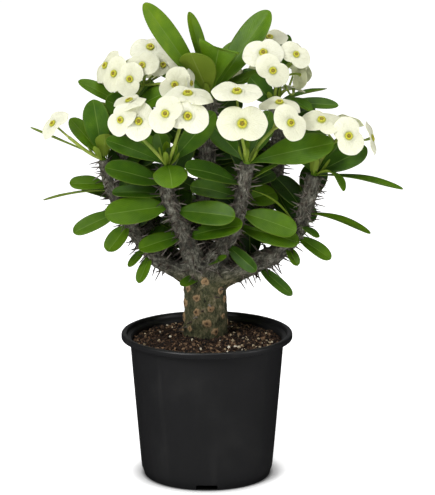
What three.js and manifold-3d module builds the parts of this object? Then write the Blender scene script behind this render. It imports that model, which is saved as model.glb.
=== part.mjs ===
// A potted crown of thorns: a thick woody stem with seven branches in a round plastic nursery
// pot, leaves along the branches and in a crown at each growing tip, and clusters of two-bract
// flowers on forked stalks.
// Millimetres, +Z up. The origin is on the pot's axis, on the surface that the pot stands on.
// The plant's own points are measured from the pot's axis and up from the soil line.

import * as THREE from 'three';
import { mergeVertices } from 'three/addons/utils/BufferGeometryUtils.js';
import Module from 'manifold-3d';

const wasm = await Module();
wasm.setup();

// ---------------------------------------------------------------- driving sizes

const potHeight = 145;
const rimRadius = 85;
const lipWidth = 8;
const lipHeight = 5.6;
const lipEdge = 2.4;
const potWall = 2;
const softEdge = 1;
const lipGap = 4.5;
const footRadius = 63;
const footHeight = 12;
const footFlare = 3;
const footRingWidth = 5;
const floorLift = 6;
const hubRadius = 34;
const hubSlope = 6;
const drainCount = 6;
const slotCount = 4;
const slotWidth = 20;
const slotHeight = 5;
const drainRadius = 5;

const soilDrop = 9;
const soilMound = 4;
const soilClearance = 0.3;

const trunkRadius = 21.5;
const rootDepth = 20;
const rootTaper = 3;

const seatGap = 0.3;
const collarWall = 1.2;
const collarSkirt = 5;
const collarDome = 6;

const leafThickness = 1.2;
const leafFold = 0.1;
const petioleWidth = 3;
const bladeStart = 0.4;

const bractSides = 10;
const bractNotch = 0.64;
const fullBract = 20;
const cupRadius = 4.2;
const cupDepth = 2.6;
const cupRise = 2.4;
const cupPeak = 0.7;
const cupStretch = 1.16;
const stalkRadius = 2;
const pedicelRadius = 1.4;

const soilLine = potHeight - soilDrop;

// ---------------------------------------------------------------- materials

function matte(color, roughness) {
  return new THREE.MeshStandardMaterial({ color, roughness, metalness: 0 });
}

const potPlastic = matte('#26272a', 0.55);
const soilMix = matte('#3a2a20', 0.95);
const bark = matte('#6b6656', 0.85);
const leafGreen = matte('#3f7a16', 0.42);
const crownGreen = matte('#4f8f1c', 0.4);
const bractCream = matte('#efeee2', 0.55);

// ---------------------------------------------------------------- solids and meshes

function vec(x, y, z) {
  return new THREE.Vector3(x, y, z);
}

// A closed solid through rings of equal length. The ends are single points.
function loft(startPole, rings, endPole) {
  const points = [startPole, ...rings.flat(), endPole];
  const count = rings[0].length;
  const last = points.length - 1;
  const triangles = [];
  for (let side = 0; side < count; side += 1) {
    const next = (side + 1) % count;
    triangles.push(0, 1 + next, 1 + side);
    for (let ring = 0; ring < rings.length - 1; ring += 1) {
      const low = 1 + ring * count;
      const high = low + count;
      triangles.push(low + side, low + next, high + next);
      triangles.push(low + side, high + next, high + side);
    }
    const top = last - count;
    triangles.push(top + side, top + next, last);
  }
  const geometry = new THREE.BufferGeometry().setFromPoints(points);
  geometry.setIndex(triangles);
  return geometry;
}

function solidOf(geometry) {
  const plain = geometry.clone();
  plain.deleteAttribute('normal');
  plain.deleteAttribute('uv');
  const merged = mergeVertices(plain, 1e-4);
  const mesh = new wasm.Mesh({
    numProp: 3,
    vertProperties: new Float32Array(merged.attributes.position.array),
    triVerts: new Uint32Array(merged.index.array),
  });
  return new wasm.Manifold(mesh);
}

function meshOf(name, solid, material) {
  const { vertProperties, triVerts } = solid.getMesh();
  const geometry = new THREE.BufferGeometry();
  geometry.setAttribute('position', new THREE.BufferAttribute(vertProperties, 3));
  geometry.setIndex(new THREE.BufferAttribute(triVerts, 1));
  geometry.computeVertexNormals();
  const mesh = new THREE.Mesh(geometry, material);
  mesh.name = name;
  return mesh;
}

function joined(solids) {
  return solids.reduce((whole, solid) => whole.add(solid));
}

// A round tube that follows points, each with its own radius.
function taperedTube(points, radii, sides, grow = 0) {
  const curve = new THREE.CatmullRomCurve3(points);
  const steps = points.length - 1;
  const frames = curve.computeFrenetFrames(steps, false);
  const rings = points.map((point, index) => {
    const ring = [];
    for (let side = 0; side < sides; side += 1) {
      const angle = (2 * Math.PI * side) / sides;
      const out = frames.normals[index].clone().multiplyScalar(Math.cos(angle));
      out.addScaledVector(frames.binormals[index], Math.sin(angle));
      ring.push(point.clone().addScaledVector(out, radii[index] + grow));
    }
    return ring;
  });
  const first = points[0].clone().addScaledVector(frames.tangents[0], -grow);
  const last = points[steps].clone().addScaledVector(frames.tangents[steps], grow);
  return solidOf(loft(first, rings, last));
}

// ---------------------------------------------------------------- pot and soil

function latheSolid(outline, segments) {
  const profile = outline.map(([x, y]) => new THREE.Vector2(x, y));
  const geometry = new THREE.LatheGeometry(profile, segments);
  return solidOf(geometry.rotateX(Math.PI / 2));
}

const potSegments = 32;
const bodyTop = rimRadius - lipWidth;
const bodyFoot = footRadius + footFlare;

// The pot body's inner radius at a height above the floor step.
function innerRadius(height) {
  const share = (height - footHeight) / (potHeight - footHeight);
  return bodyFoot - potWall + share * (bodyTop - bodyFoot);
}

function buildPot() {
  const floorTop = floorLift + potWall;
  const floorReach = footRadius - footRingWidth;
  const skirtInner = bodyTop + lipGap;
  const skirtFoot = potHeight - lipHeight;
  const lipUnderside = potHeight - potWall - softEdge;
  const body = latheSolid([
    [0, 0],
    [hubRadius, 0],
    [hubRadius + hubSlope, floorLift],
    [floorReach, floorLift],
    [floorReach + softEdge, 0],
    [footRadius, 0],
    [bodyFoot - 0.4 * softEdge, footHeight - 4 * softEdge],
    [bodyFoot, footHeight],
    [bodyTop, lipUnderside],
    [skirtInner, lipUnderside],
    [skirtInner, skirtFoot],
    [rimRadius - softEdge, skirtFoot],
    [rimRadius, skirtFoot + softEdge],
    [rimRadius, potHeight - lipEdge],
    [rimRadius - 0.3 * lipEdge, potHeight - 0.3 * lipEdge],
    [rimRadius - lipEdge, potHeight],
    [bodyTop - potWall + softEdge, potHeight],
    [bodyTop - potWall, potHeight - softEdge],
    [innerRadius(footHeight), footHeight],
    [footRadius - potWall - 2, floorTop],
    [hubRadius + hubSlope - softEdge, floorTop],
    [hubRadius - softEdge, potWall],
    [0, potWall],
  ], potSegments);
  let pot = body;
  const slot = new THREE.BoxGeometry(footRingWidth + 8, slotWidth, 2 * slotHeight);
  const drain = new THREE.CylinderGeometry(drainRadius, drainRadius, 3 * potWall, 12);
  drain.rotateX(Math.PI / 2);
  const drainCentre = (hubRadius + hubSlope + floorReach) / 2;
  slot.translate(footRadius - 1, 0, 0);
  drain.translate(drainCentre, 0, floorLift + potWall / 2);
  const cut = (cutter, index, count) => {
    const turned = cutter.clone().rotateZ((2 * Math.PI * index) / count - Math.PI / 2);
    pot = pot.subtract(solidOf(turned));
  };
  for (let index = 0; index < slotCount; index += 1) {
    cut(slot, index, slotCount);
  }
  for (let index = 0; index < drainCount; index += 1) {
    cut(drain, index, drainCount);
  }
  return pot;
}

// The soil fills the pot over its floor and rises a little towards the trunk.
function buildSoil(rootPocket) {
  const bottom = floorLift + potWall + soilClearance;
  const lowRadius = footRadius - potWall - 2 - soilClearance;
  const stepRadius = innerRadius(footHeight) - soilClearance;
  const topRadius = innerRadius(soilLine) - soilClearance;
  const soil = latheSolid([
    [0, bottom],
    [lowRadius, bottom],
    [stepRadius, footHeight + 0.5],
    [topRadius, soilLine],
    [topRadius - 18, soilLine + 0.4 * soilMound],
    [topRadius - 40, soilLine + 0.9 * soilMound],
    [0, soilLine + soilMound],
  ], 36);
  return soil.subtract(rootPocket);
}

// ---------------------------------------------------------------- woody stem

// Each point is x, y, height over the soil line, and the stem's radius there.
const branches = {
  trunk: [
    [-2, 12, -rootDepth, trunkRadius - rootTaper],
    [-2, 12, 0, trunkRadius + 1],
    [-1, 12, 26, trunkRadius],
    [-2, 12, 50, trunkRadius],
    [-4, 12, 68, trunkRadius - 2],
    [-4, 13, 80, trunkRadius - 9],
  ],
  farLeft: [
    [-8, 12, 58, 13],
    [-28, 10, 70, 10.5],
    [-49, 8, 81, 8.5],
    [-68, 6, 104, 6.8],
    [-85, 5, 132, 6.2],
    [-96, 4, 157, 5.8],
    [-101, 2, 182, 5.6],
  ],
  frontLeft: [
    [-6, 12, 56, 15],
    [-11, 8, 76, 12],
    [-21, 2, 104, 9],
    [-28, -4, 124, 8.2],
    [-37, -12, 145, 7.5],
    [-40, -16, 160, 7],
    [-38, -22, 181, 6.8],
  ],
  frontRight: [
    [0, 12, 56, 15],
    [6, 10, 76, 12],
    [16, 6, 95, 9.5],
    [27, -4, 115, 8.2],
    [32, -10, 135, 7.5],
    [35, -15, 156, 7.2],
    [39, -20, 183, 7.4],
  ],
  right: [
    [2, 12, 56, 15],
    [20, 10, 66, 13],
    [43, 8, 75, 11],
    [67, 5, 86, 9.5],
    [85, 2, 104, 8],
    [94, 0, 123, 7.2],
    [100, -2, 146, 7.5],
    [105, -4, 168, 7.8],
  ],
  backRight: [
    [4, 16, 60, 14],
    [18, 22, 76, 11.5],
    [40, 32, 94, 9.5],
    [57, 40, 125, 8.2],
    [69, 44, 159, 7.8],
    [71, 46, 194, 7.4],
    [67, 46, 229, 7],
  ],
  backLeft: [
    [-8, 16, 60, 14],
    [-27, 25, 70, 10.5],
    [-51, 31, 97, 8.8],
    [-72, 33, 124, 7.8],
    [-85, 34, 156, 7.2],
    [-84, 34, 191, 7],
    [-74, 32, 224, 6.8],
  ],
  centre: [
    [-2, 16, 60, 16],
    [-5, 22, 80, 13],
    [-4, 32, 112, 9.5],
    [0, 36, 160, 8.6],
    [2, 35, 206, 8.2],
    [3, 32, 238, 7.8],
  ],
};

function branchPoints(branch) {
  return branches[branch].map(([x, y, height]) => vec(x, y, soilLine + height));
}

function branchRadii(branch) {
  return branches[branch].map((entry) => entry[3]);
}

function buildStem(grow) {
  const limbs = Object.keys(branches).map((branch) => {
    const sides = branch === 'trunk' ? 14 : 9;
    return taperedTube(branchPoints(branch), branchRadii(branch), sides, grow);
  });
  return joined(limbs);
}

// The point on a branch's centre line at a height over the soil line.
function pointAtHeight(branch, height) {
  const points = branchPoints(branch);
  const z = soilLine + height;
  const upper = Math.max(1, points.findIndex((point) => point.z >= z));
  const low = points[upper - 1];
  const high = points[upper];
  return low.clone().lerp(high, (z - low.z) / (high.z - low.z));
}

// A growing tip's collar caps the end of its branch, and its crown leaves are joined to it.
function collarSolid(branch, grow) {
  const points = branchPoints(branch);
  const tip = points[points.length - 1];
  const along = tip.clone().sub(points[points.length - 2]).normalize();
  const radius = branchRadii(branch).at(-1) + collarWall;
  const path = [
    tip.clone().addScaledVector(along, -collarSkirt),
    tip.clone().addScaledVector(along, 1),
    tip.clone().addScaledVector(along, 0.65 * collarDome),
    tip.clone().addScaledVector(along, collarDome),
  ];
  return taperedTube(path, [radius, radius, 0.72 * radius, 0.3 * radius], 9, grow);
}

// ---------------------------------------------------------------- leaves

// Share of the leaf's length, and share of its full width there.
const leafOutline = [
  [0.12, 0.13],
  [0.3, 0.5],
  [0.5, 0.88],
  [0.68, 1],
  [0.84, 0.84],
  [0.94, 0.5],
];

function leafSolid(base, tip, { width, face, bow = 4, fold = leafFold, via }, from = 0) {
  const chord = tip.clone().sub(base).normalize();
  const across = new THREE.Vector3().crossVectors(chord, vec(...face)).normalize();
  const facing = new THREE.Vector3().crossVectors(across, chord);
  const middle = base.clone().add(tip).multiplyScalar(0.5).addScaledVector(facing, 2 * bow);
  const bend = via ? base.clone().add(vec(...via)) : middle;
  const path = new THREE.QuadraticBezierCurve3(base, bend, tip);
  const half = leafThickness / 2;
  const start = [0, petioleWidth / width];
  const stations = [start, ...leafOutline].filter(([share]) => share >= from);
  const rings = stations.map(([share, spread]) => {
    const centre = path.getPoint(share);
    const normal = new THREE.Vector3().crossVectors(across, path.getTangent(share)).normalize();
    const reach = Math.max(spread * width, petioleWidth) / 2;
    const keel = fold * 2 * reach;
    return [
      centre.clone().addScaledVector(across, -reach),
      centre.clone().addScaledVector(normal, half - keel),
      centre.clone().addScaledVector(across, reach),
      centre.clone().addScaledVector(normal, -half - keel),
    ];
  });
  const startPole = rings[0][1].clone().add(rings[0][3]).multiplyScalar(0.5);
  return solidOf(loft(startPole, rings, tip));
}

// Small swings of a leaf about its base, in degrees of turn and rise, tried in this order.
function leafSwings() {
  const swings = [];
  for (let turn = -35; turn <= 35; turn += 5) {
    for (let rise = -30; rise <= 30; rise += 5) {
      swings.push([turn, rise]);
    }
  }
  return swings.sort((a, b) => Math.hypot(...a) - Math.hypot(...b));
}

const swings = leafSwings();

function swungTip(base, tip, [turn, rise]) {
  const reach = new THREE.Spherical().setFromVector3(
    vec(tip.x - base.x, tip.z - base.z, tip.y - base.y),
  );
  reach.theta += THREE.MathUtils.degToRad(turn);
  reach.phi -= THREE.MathUtils.degToRad(rise);
  reach.makeSafe();
  const moved = new THREE.Vector3().setFromSpherical(reach);
  return base.clone().add(vec(moved.x, moved.z, moved.y));
}

function boxesMeet(one, other, margin) {
  const a = one.boundingBox();
  const b = other.boundingBox();
  return [0, 1, 2].every((axis) => (
    a.min[axis] - margin < b.max[axis] && b.min[axis] - margin < a.max[axis]
  ));
}

function isClear(solid, others) {
  return others.every((other) => (
    !boxesMeet(solid, other, seatGap) || solid.minGap(other, 2 * seatGap) >= 0.9 * seatGap
  ));
}

// ---------------------------------------------------------------- flowers

function flowerParts(fork, { at, face, turn, size }) {
  const centre = vec(at[0], at[1], soilLine + at[2]);
  const normal = vec(...face).normalize();
  const level = vec(-normal.y, normal.x, 0).normalize();
  const upward = new THREE.Vector3().crossVectors(normal, level);
  const angle = THREE.MathUtils.degToRad(turn);
  const axis = level.clone().multiplyScalar(Math.cos(angle)).addScaledVector(upward, Math.sin(angle));
  const cross = new THREE.Vector3().crossVectors(normal, axis);
  const scale = size / fullBract;
  const place = (out, side, rise) => centre.clone()
    .addScaledVector(axis, out)
    .addScaledVector(cross, side)
    .addScaledVector(normal, rise);

  // Two round bracts make one outline with a notch on each side, around a raised oval cup.
  const ring = (reachAt, rise) => {
    const points = [];
    for (let side = 0; side < bractSides; side += 1) {
      const around = (2 * Math.PI * side) / bractSides;
      const reach = reachAt(Math.abs(Math.cos(around)));
      points.push(place(reach * Math.cos(around), reach * Math.sin(around), rise));
    }
    return points;
  };
  const bractRim = ring((lobe) => size * (bractNotch + (1 - bractNotch) * Math.sqrt(lobe)), 0);
  const cupReach = (lobe) => cupRadius * scale * (1 + (cupStretch - 1) * lobe ** 4);
  const cupFoot = ring((lobe) => 0.9 * cupReach(lobe), 0.4);
  const cupTop = ring(cupReach, cupRise);
  const head = solidOf(
    loft(place(0, 0, -cupDepth), [bractRim, cupFoot, cupTop], place(0, 0, cupRise + cupPeak)),
  );
  const pedicel = taperedTube(
    [fork, place(0, 0, -cupDepth - 4), place(0, 0, -0.3 * cupDepth)],
    [pedicelRadius, pedicelRadius, pedicelRadius],
    4,
  );
  return [head, pedicel];
}

// A stalk runs from its branch tip to a fork, and each flower's pedicel leaves the fork.
function clusterSolid({ branch, stalk, flowers }, seats) {
  const points = branchPoints(branch);
  const tip = points[points.length - 1];
  const route = [tip, ...stalk.map(([x, y, height]) => vec(x, y, soilLine + height))];
  const fork = route[route.length - 1];
  const stem = taperedTube(route, route.map(() => stalkRadius), 6);
  const parts = flowers.flatMap((flower) => flowerParts(fork, flower));
  return joined([stem, ...parts]).subtract(seats);
}

const clusters = {
  flowers_upper_left: {
    branch: 'backLeft',
    stalk: [[-72, 30, 236], [-62, 26, 252]],
    flowers: [
      { at: [-63, 16, 273], face: [-1, -9, 4], turn: 20, size: 17 },
      { at: [-43, 24, 272], face: [2, -8, 4], turn: 10, size: 15 },
      { at: [-75, 6, 261], face: [0, -9, 2], turn: 70, size: 17 },
      { at: [-90, 14, 265], face: [-6, -8, 3], turn: 85, size: 18 },
      { at: [-99, 32, 270], face: [-6, -4, 4], turn: 80, size: 18 },
      { at: [-56, 46, 286], face: [1, -5, 6], turn: 10, size: 20 },
      { at: [-31, 0, 257], face: [0, -9, -1], turn: 60, size: 18 },
      { at: [-16, 6, 257], face: [9, -4, 1], turn: 90, size: 14 },
      { at: [-28, 36, 272], face: [5, -4, 5], turn: 20, size: 16 },
    ],
  },
  flowers_front_left: {
    branch: 'frontLeft',
    stalk: [[-48, -30, 194], [-66, -36, 214]],
    flowers: [
      { at: [-82, -42, 229], face: [-4, -9, 2], turn: 55, size: 17 },
      { at: [-65, -43, 228], face: [0, -10, 2], turn: 85, size: 19 },
      { at: [-74, -30, 245], face: [-3, -2, 9], turn: 0, size: 19 },
    ],
  },
  flowers_front_middle: {
    branch: 'frontLeft',
    stalk: [[-33, -32, 196], [-26, -42, 220]],
    flowers: [
      { at: [-39, -60, 238], face: [-1, -9, 3], turn: 60, size: 19 },
      { at: [-18, -40, 253], face: [0, -3, 9], turn: 0, size: 24 },
      { at: [-18, -55, 235], face: [1, -10, 2], turn: -20, size: 21 },
    ],
  },
  flowers_front_centre: {
    branch: 'frontRight',
    stalk: [[37, -30, 196], [34, -44, 212]],
    flowers: [
      { at: [29, -46, 256], face: [0, -4, 9], turn: 0, size: 24 },
      { at: [34, -56, 228], face: [0, -10, 2], turn: 0, size: 24 },
    ],
  },
  flowers_front_right: {
    branch: 'frontRight',
    stalk: [[48, -22, 198], [64, -32, 218]],
    flowers: [
      { at: [70, -30, 243], face: [0, -3, 9], turn: -15, size: 20 },
      { at: [80, -46, 227], face: [4, -9, 2], turn: -55, size: 19 },
    ],
  },
  flowers_right: {
    branch: 'right',
    stalk: [[112, -6, 184], [124, -10, 202]],
    flowers: [
      { at: [111, -22, 225], face: [0, -6, 8], turn: -10, size: 20 },
      { at: [137, -28, 211], face: [1, -10, 2], turn: -70, size: 19 },
      { at: [140, 0, 222], face: [3, 5, 8], turn: 0, size: 15 },
      { at: [160, -12, 206], face: [9, -2, 3], turn: 90, size: 17 },
    ],
  },
  flowers_upper_right: {
    branch: 'backRight',
    stalk: [[68, 42, 242], [70, 36, 258]],
    flowers: [
      { at: [55, 10, 286], face: [0, -8, 5], turn: 5, size: 20 },
      { at: [64, -4, 271], face: [1, -10, 1], turn: -45, size: 18 },
      { at: [87, 20, 283], face: [3, -8, 4], turn: -40, size: 16 },
      { at: [62, 58, 294], face: [0, -4, 7], turn: 0, size: 18 },
      { at: [96, 36, 280], face: [9, 1, 3], turn: 90, size: 14 },
      { at: [92, 34, 261], face: [6, 5, -2], turn: 60, size: 15 },
      { at: [86, 46, 246], face: [2, 3, 9], turn: 0, size: 13 },
    ],
  },
  flower_far_left: {
    branch: 'farLeft',
    stalk: [[-114, -6, 190], [-134, -8, 206]],
    flowers: [
      { at: [-149, -8, 219], face: [-6, -5, 6], turn: 60, size: 17 },
    ],
  },
  flowers_back_centre: {
    branch: 'centre',
    stalk: [[4, 44, 244], [5, 58, 248]],
    flowers: [
      { at: [-13, 82, 254], face: [-3, 9, 3], turn: 20, size: 19 },
      { at: [21, 86, 252], face: [3, 9, 3], turn: -30, size: 19 },
      { at: [4, 74, 268], face: [0, 4, 9], turn: 0, size: 20 },
    ],
  },
  flowers_back_left: {
    branch: 'backLeft',
    stalk: [[-80, 46, 232], [-94, 58, 236]],
    flowers: [
      { at: [-98, 70, 256], face: [-6, 8, 3], turn: 80, size: 18 },
      { at: [-66, 80, 262], face: [0, 9, 4], turn: 0, size: 19 },
    ],
  },
  flowers_back_right: {
    branch: 'backRight',
    stalk: [[74, 60, 238], [82, 74, 242]],
    flowers: [
      { at: [60, 92, 256], face: [-1, 9, 3], turn: 10, size: 19 },
      { at: [92, 88, 262], face: [5, 8, 4], turn: 60, size: 18 },
    ],
  },
};

// ---------------------------------------------------------------- leaf places

// Crown leaves rise from a growing tip. Each tip is x, y and height over the soil line.
const crowns = {
  crown_leaves_far_left: {
    branch: 'farLeft',
    leaves: [
      { tip: [-111, 4, 241], width: 27, face: [-1, -9, 4] },
      { tip: [-137, 6, 219], width: 20, face: [2, -8, 5] },
      { tip: [-96, 16, 235], width: 24, face: [2, -9, 3] },
      { tip: [-99, -16, 211], width: 18, face: [0, 5, 8] },
      { tip: [-166, -2, 225], width: 20, face: [3, 1, 9], bow: 2 },
      { tip: [-130, 50, 212], width: 24, face: [0, -5, 8] },
      { tip: [-84, 54, 205], width: 22, face: [0, -4, 9] },
    ],
  },
  crown_leaves_front_left: {
    branch: 'frontLeft',
    leaves: [
      { tip: [-94, -30, 212], width: 22, face: [-2, -6, 8] },
      { tip: [8, -6, 230], width: 25, face: [3, -9, 3] },
      { tip: [-33, -62, 167], width: 34, face: [0, -3, 9], bow: 7 },
      { tip: [-47, -8, 211], width: 18, face: [0, -9, 2] },
      { tip: [-66, 14, 202], width: 20, face: [0, -7, 7] },
    ],
  },
  crown_leaves_front_right: {
    branch: 'frontRight',
    leaves: [
      { tip: [121, -18, 210], width: 34, face: [1, -7, 6] },
      { tip: [4, 12, 216], width: 22, face: [-4, -8, 5] },
      { tip: [64, 2, 232], width: 22, face: [3, -9, 3] },
      { tip: [44, 26, 212], width: 20, face: [0, -6, 8] },
    ],
  },
  crown_leaves_right: {
    branch: 'right',
    leaves: [
      { tip: [133, -28, 157], width: 22, face: [-2, 4, 8], bow: 12 },
      { tip: [192, -6, 155], width: 24, face: [0, 0, 10], bow: 5 },
      { tip: [156, -2, 195], width: 28, face: [0, -8, 5] },
      { tip: [128, 6, 204], width: 22, face: [0, -9, 3] },
      { tip: [108, 10, 201], width: 14, face: [0, -9, 2] },
      { tip: [84, 16, 196], width: 18, face: [2, -7, 5] },
      { tip: [150, 52, 182], width: 24, face: [0, -2, 9] },
      { tip: [96, 60, 188], width: 24, face: [0, -4, 8] },
    ],
  },
  crown_leaves_upper_right: {
    branch: 'backRight',
    leaves: [
      { tip: [130, 38, 230], width: 16, face: [0, -6, 8] },
      { tip: [103, 14, 228], width: 22, face: [3, -4, 8], bow: 10 },
      { tip: [50, 35, 266], width: 26, face: [0, -9, 4] },
      { tip: [84, 66, 296], width: 18, face: [-2, -9, 2] },
      { tip: [58, 100, 246], width: 26, face: [0, -2, 9] },
      { tip: [118, 78, 246], width: 26, face: [-2, 0, 9] },
      { tip: [34, 82, 256], width: 24, face: [3, -3, 8] },
    ],
  },
  crown_leaves_upper_left: {
    branch: 'backLeft',
    leaves: [
      { tip: [-126, 28, 256], width: 18, face: [0, -5, 8] },
      { tip: [-100, 10, 247], width: 24, face: [0, -9, 3] },
      { tip: [-50, 25, 262], width: 22, face: [0, -9, 3] },
      { tip: [-40, 10, 248], width: 22, face: [2, -7, 6] },
      { tip: [-110, 84, 234], width: 26, face: [2, -1, 9] },
      { tip: [-62, 92, 252], width: 26, face: [0, -3, 9] },
      { tip: [-36, 76, 244], width: 24, face: [-2, -3, 9] },
    ],
  },
  crown_leaves_top: {
    branch: 'centre',
    leaves: [
      { tip: [-60, -4, 336], width: 24, face: [3, -9, 3], bow: 3 },
      { tip: [-17, 26, 324], width: 20, face: [7, -6, 1], fold: 0.3 },
      { tip: [61, 36, 324], width: 30, face: [-3, -9, 3] },
      { tip: [12, 24, 284], width: 42, face: [0, -8, 5], via: [12, -40, 78] },
      { tip: [-15, -12, 281], width: 36, face: [0, 4, 8] },
      { tip: [36, 78, 284], width: 28, face: [0, -8, 5] },
      { tip: [-36, 80, 278], width: 28, face: [2, -8, 5] },
      { tip: [60, 62, 262], width: 26, face: [0, -2, 9] },
      { tip: [-50, 62, 264], width: 26, face: [0, -2, 9] },
    ],
  },
};

// Side leaves leave a branch at a height over the soil line.
const sideLeaves = {
  trunk: [
    { at: 65, tip: [-25, -24, 62], width: 12, face: [-3, -8, 4], bow: 1 },
    { at: 74, tip: [14, -22, 82], width: 11, face: [2, -7, 6], bow: 1 },
  ],
  farLeft: [
    { at: 157, tip: [-134, -4, 160], width: 18, face: [0, -7, 7], bow: 2 },
    { at: 151, tip: [-161, 8, 141], width: 16, face: [0, 1, 10] },
    { at: 130, tip: [-131, -6, 111], width: 18, face: [-1, -8, 6], bow: 3 },
    { at: 118, tip: [-97, -18, 95], width: 20, face: [-3, -9, 3], bow: 2 },
    { at: 94, tip: [-77, -8, 77], width: 10, face: [-4, -8, 4], bow: 1 },
    { at: 88, tip: [-67, -14, 62], width: 13, face: [-3, -9, 2], bow: 2 },
    { at: 140, tip: [-128, 54, 150], width: 24, face: [-2, -2, 9] },
  ],
  frontLeft: [
    { at: 161, tip: [-98, -26, 180], width: 26, face: [0, -7, 7] },
    { at: 150, tip: [-92, -18, 154], width: 20, face: [0, -6, 8] },
    { at: 138, tip: [-98, -34, 141], width: 28, face: [0, -9, 4] },
    { at: 107, tip: [-66, -20, 98], width: 20, face: [0, -8, 6], bow: 3 },
    { at: 120, tip: [-48, 24, 107], width: 18, face: [-2, -8, 4], bow: 2 },
    { at: 133, tip: [27, -40, 134], width: 26, face: [0, -8, 5] },
    { at: 104, tip: [34, -36, 125], width: 26, face: [0, -7, 7] },
  ],
  frontRight: [
    { at: 160, tip: [-20, -48, 184], width: 28, face: [-1, -5, 8], bow: 5 },
    { at: 146, tip: [-16, -8, 158], width: 22, face: [0, -6, 8] },
    { at: 132, tip: [87, -24, 116], width: 25, face: [0, -8, 6] },
    { at: 117, tip: [90, -18, 104], width: 26, face: [0, -7, 7] },
    { at: 98, tip: [48, -26, 77], width: 15, face: [-3, -9, 2], bow: 2 },
    { at: 163, tip: [70, -14, 182], width: 13, face: [-5, -2, 8], bow: 1 },
    { at: 157, tip: [84, -10, 124], width: 14, face: [2, 0, 10], bow: 8 },
    { at: 142, tip: [68, 16, 147], width: 26, face: [0, -8, 5] },
  ],
  right: [
    { at: 130, tip: [161, -4, 110], width: 18, face: [0, -1, 10], bow: 5 },
    { at: 118, tip: [107, -28, 111], width: 16, face: [0, 3, 9], bow: 2 },
    { at: 107, tip: [122, -8, 85], width: 16, face: [-1, -6, 8], bow: 2 },
    { at: 97, tip: [89, -16, 80], width: 11, face: [3, -9, 2], bow: 2 },
    { at: 77, tip: [84, -8, 48], width: 12, face: [-3, -8, 5], bow: 2 },
    { at: 122, tip: [70, 62, 112], width: 24, face: [-1, 0, 10] },
  ],
  backRight: [
    { at: 118, tip: [98, 84, 135], width: 24, face: [-2, -2, 9] },
    { at: 150, tip: [50, 106, 166], width: 26, face: [0, -3, 9] },
    { at: 185, tip: [122, 82, 196], width: 26, face: [-3, -2, 9] },
  ],
  backLeft: [
    { at: 108, tip: [-104, 76, 116], width: 24, face: [2, -2, 9] },
    { at: 145, tip: [-66, 100, 160], width: 26, face: [0, -3, 9] },
    { at: 182, tip: [-128, 80, 192], width: 26, face: [3, -2, 9] },
  ],
  centre: [
    { at: 118, tip: [-30, 98, 126], width: 26, face: [0, -3, 9] },
    { at: 165, tip: [26, 104, 180], width: 26, face: [0, -3, 9] },
    { at: 195, tip: [-36, 96, 212], width: 26, face: [0, -3, 9] },
  ],
};

// ---------------------------------------------------------------- assembly

const stem = buildStem(0);
const stemSeat = buildStem(seatGap);
const growingTips = Object.keys(branches).filter((branch) => branch !== 'trunk');
const collars = new Map(growingTips.map((branch) => [branch, collarSolid(branch, 0)]));
const seats = joined([stemSeat, ...growingTips.map((branch) => collarSolid(branch, seatGap))]);

const plant = new THREE.Group();
plant.add(meshOf('woody_stem', stem, bark));
const placed = [];

for (const [name, cluster] of Object.entries(clusters)) {
  const solid = clusterSolid(cluster, seats);
  placed.push(solid);
  plant.add(meshOf(name, solid, bractCream));
}

function tipOf(leaf) {
  return vec(leaf.tip[0], leaf.tip[1], soilLine + leaf.tip[2]);
}

// The leaf's tip after the smallest swing that leaves it clear of its neighbours.
function settledTip(base, leaf, fits) {
  const tipAfter = (swing) => swungTip(base, tipOf(leaf), swing);
  return tipAfter(swings.find((swing) => fits(tipAfter(swing))) ?? swings[0]);
}

// A crown's blades keep clear of the stem, the other pieces and each other.
for (const [name, { branch, leaves }] of Object.entries(crowns)) {
  const base = branchPoints(branch).at(-1);
  const collar = collars.get(branch);
  const neighbours = [...placed, ...[...collars.values()].filter((other) => other !== collar)];
  const blades = [];
  const parts = [collar];
  for (const leaf of leaves) {
    const tip = settledTip(base, leaf, (place) => (
      isClear(leafSolid(base, place, leaf), neighbours)
      && isClear(leafSolid(base, place, leaf, bladeStart), [stem, ...blades])
    ));
    blades.push(leafSolid(base, tip, leaf, bladeStart));
    parts.push(leafSolid(base, tip, leaf));
  }
  const solid = joined(parts).subtract(stemSeat);
  placed.push(solid);
  plant.add(meshOf(name, solid, crownGreen));
}

// A side leaf starts in its branch and is cut back to the bark.
for (const [branch, leaves] of Object.entries(sideLeaves)) {
  const label = branch.replace(/[A-Z]/g, (letter) => `_${letter.toLowerCase()}`);
  leaves.forEach((leaf, index) => {
    const base = pointAtHeight(branch, leaf.at);
    const cutBack = (place) => leafSolid(base, place, leaf).subtract(stemSeat);
    const tip = settledTip(base, leaf, (place) => {
      const solid = cutBack(place);
      return solid.decompose().length === 1
        && isClear(solid, [...placed, ...collars.values(), stem]);
    });
    const solid = cutBack(tip);
    placed.push(solid);
    plant.add(meshOf(`leaf_${label}_${index + 1}`, solid, leafGreen));
  });
}

const group = new THREE.Group();
group.add(meshOf('pot', buildPot(), potPlastic));
group.add(meshOf('soil', buildSoil(stemSeat), soilMix));
group.add(plant);

export default group;
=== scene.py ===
# A potted crown of thorns: black nursery pot, potting mix, woody thorny stem,
# leaves along the branches and in crowns, and clusters of cream flowers.
# Works in Blender 4.5, in metres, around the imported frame. Lengths in the dictionaries
# are in mm, apart from the studio's.

import math
import random

import bmesh
import bpy
import numpy as np
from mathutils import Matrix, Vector, noise
from mathutils.bvhtree import BVHTree
from mathutils.kdtree import KDTree


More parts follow.
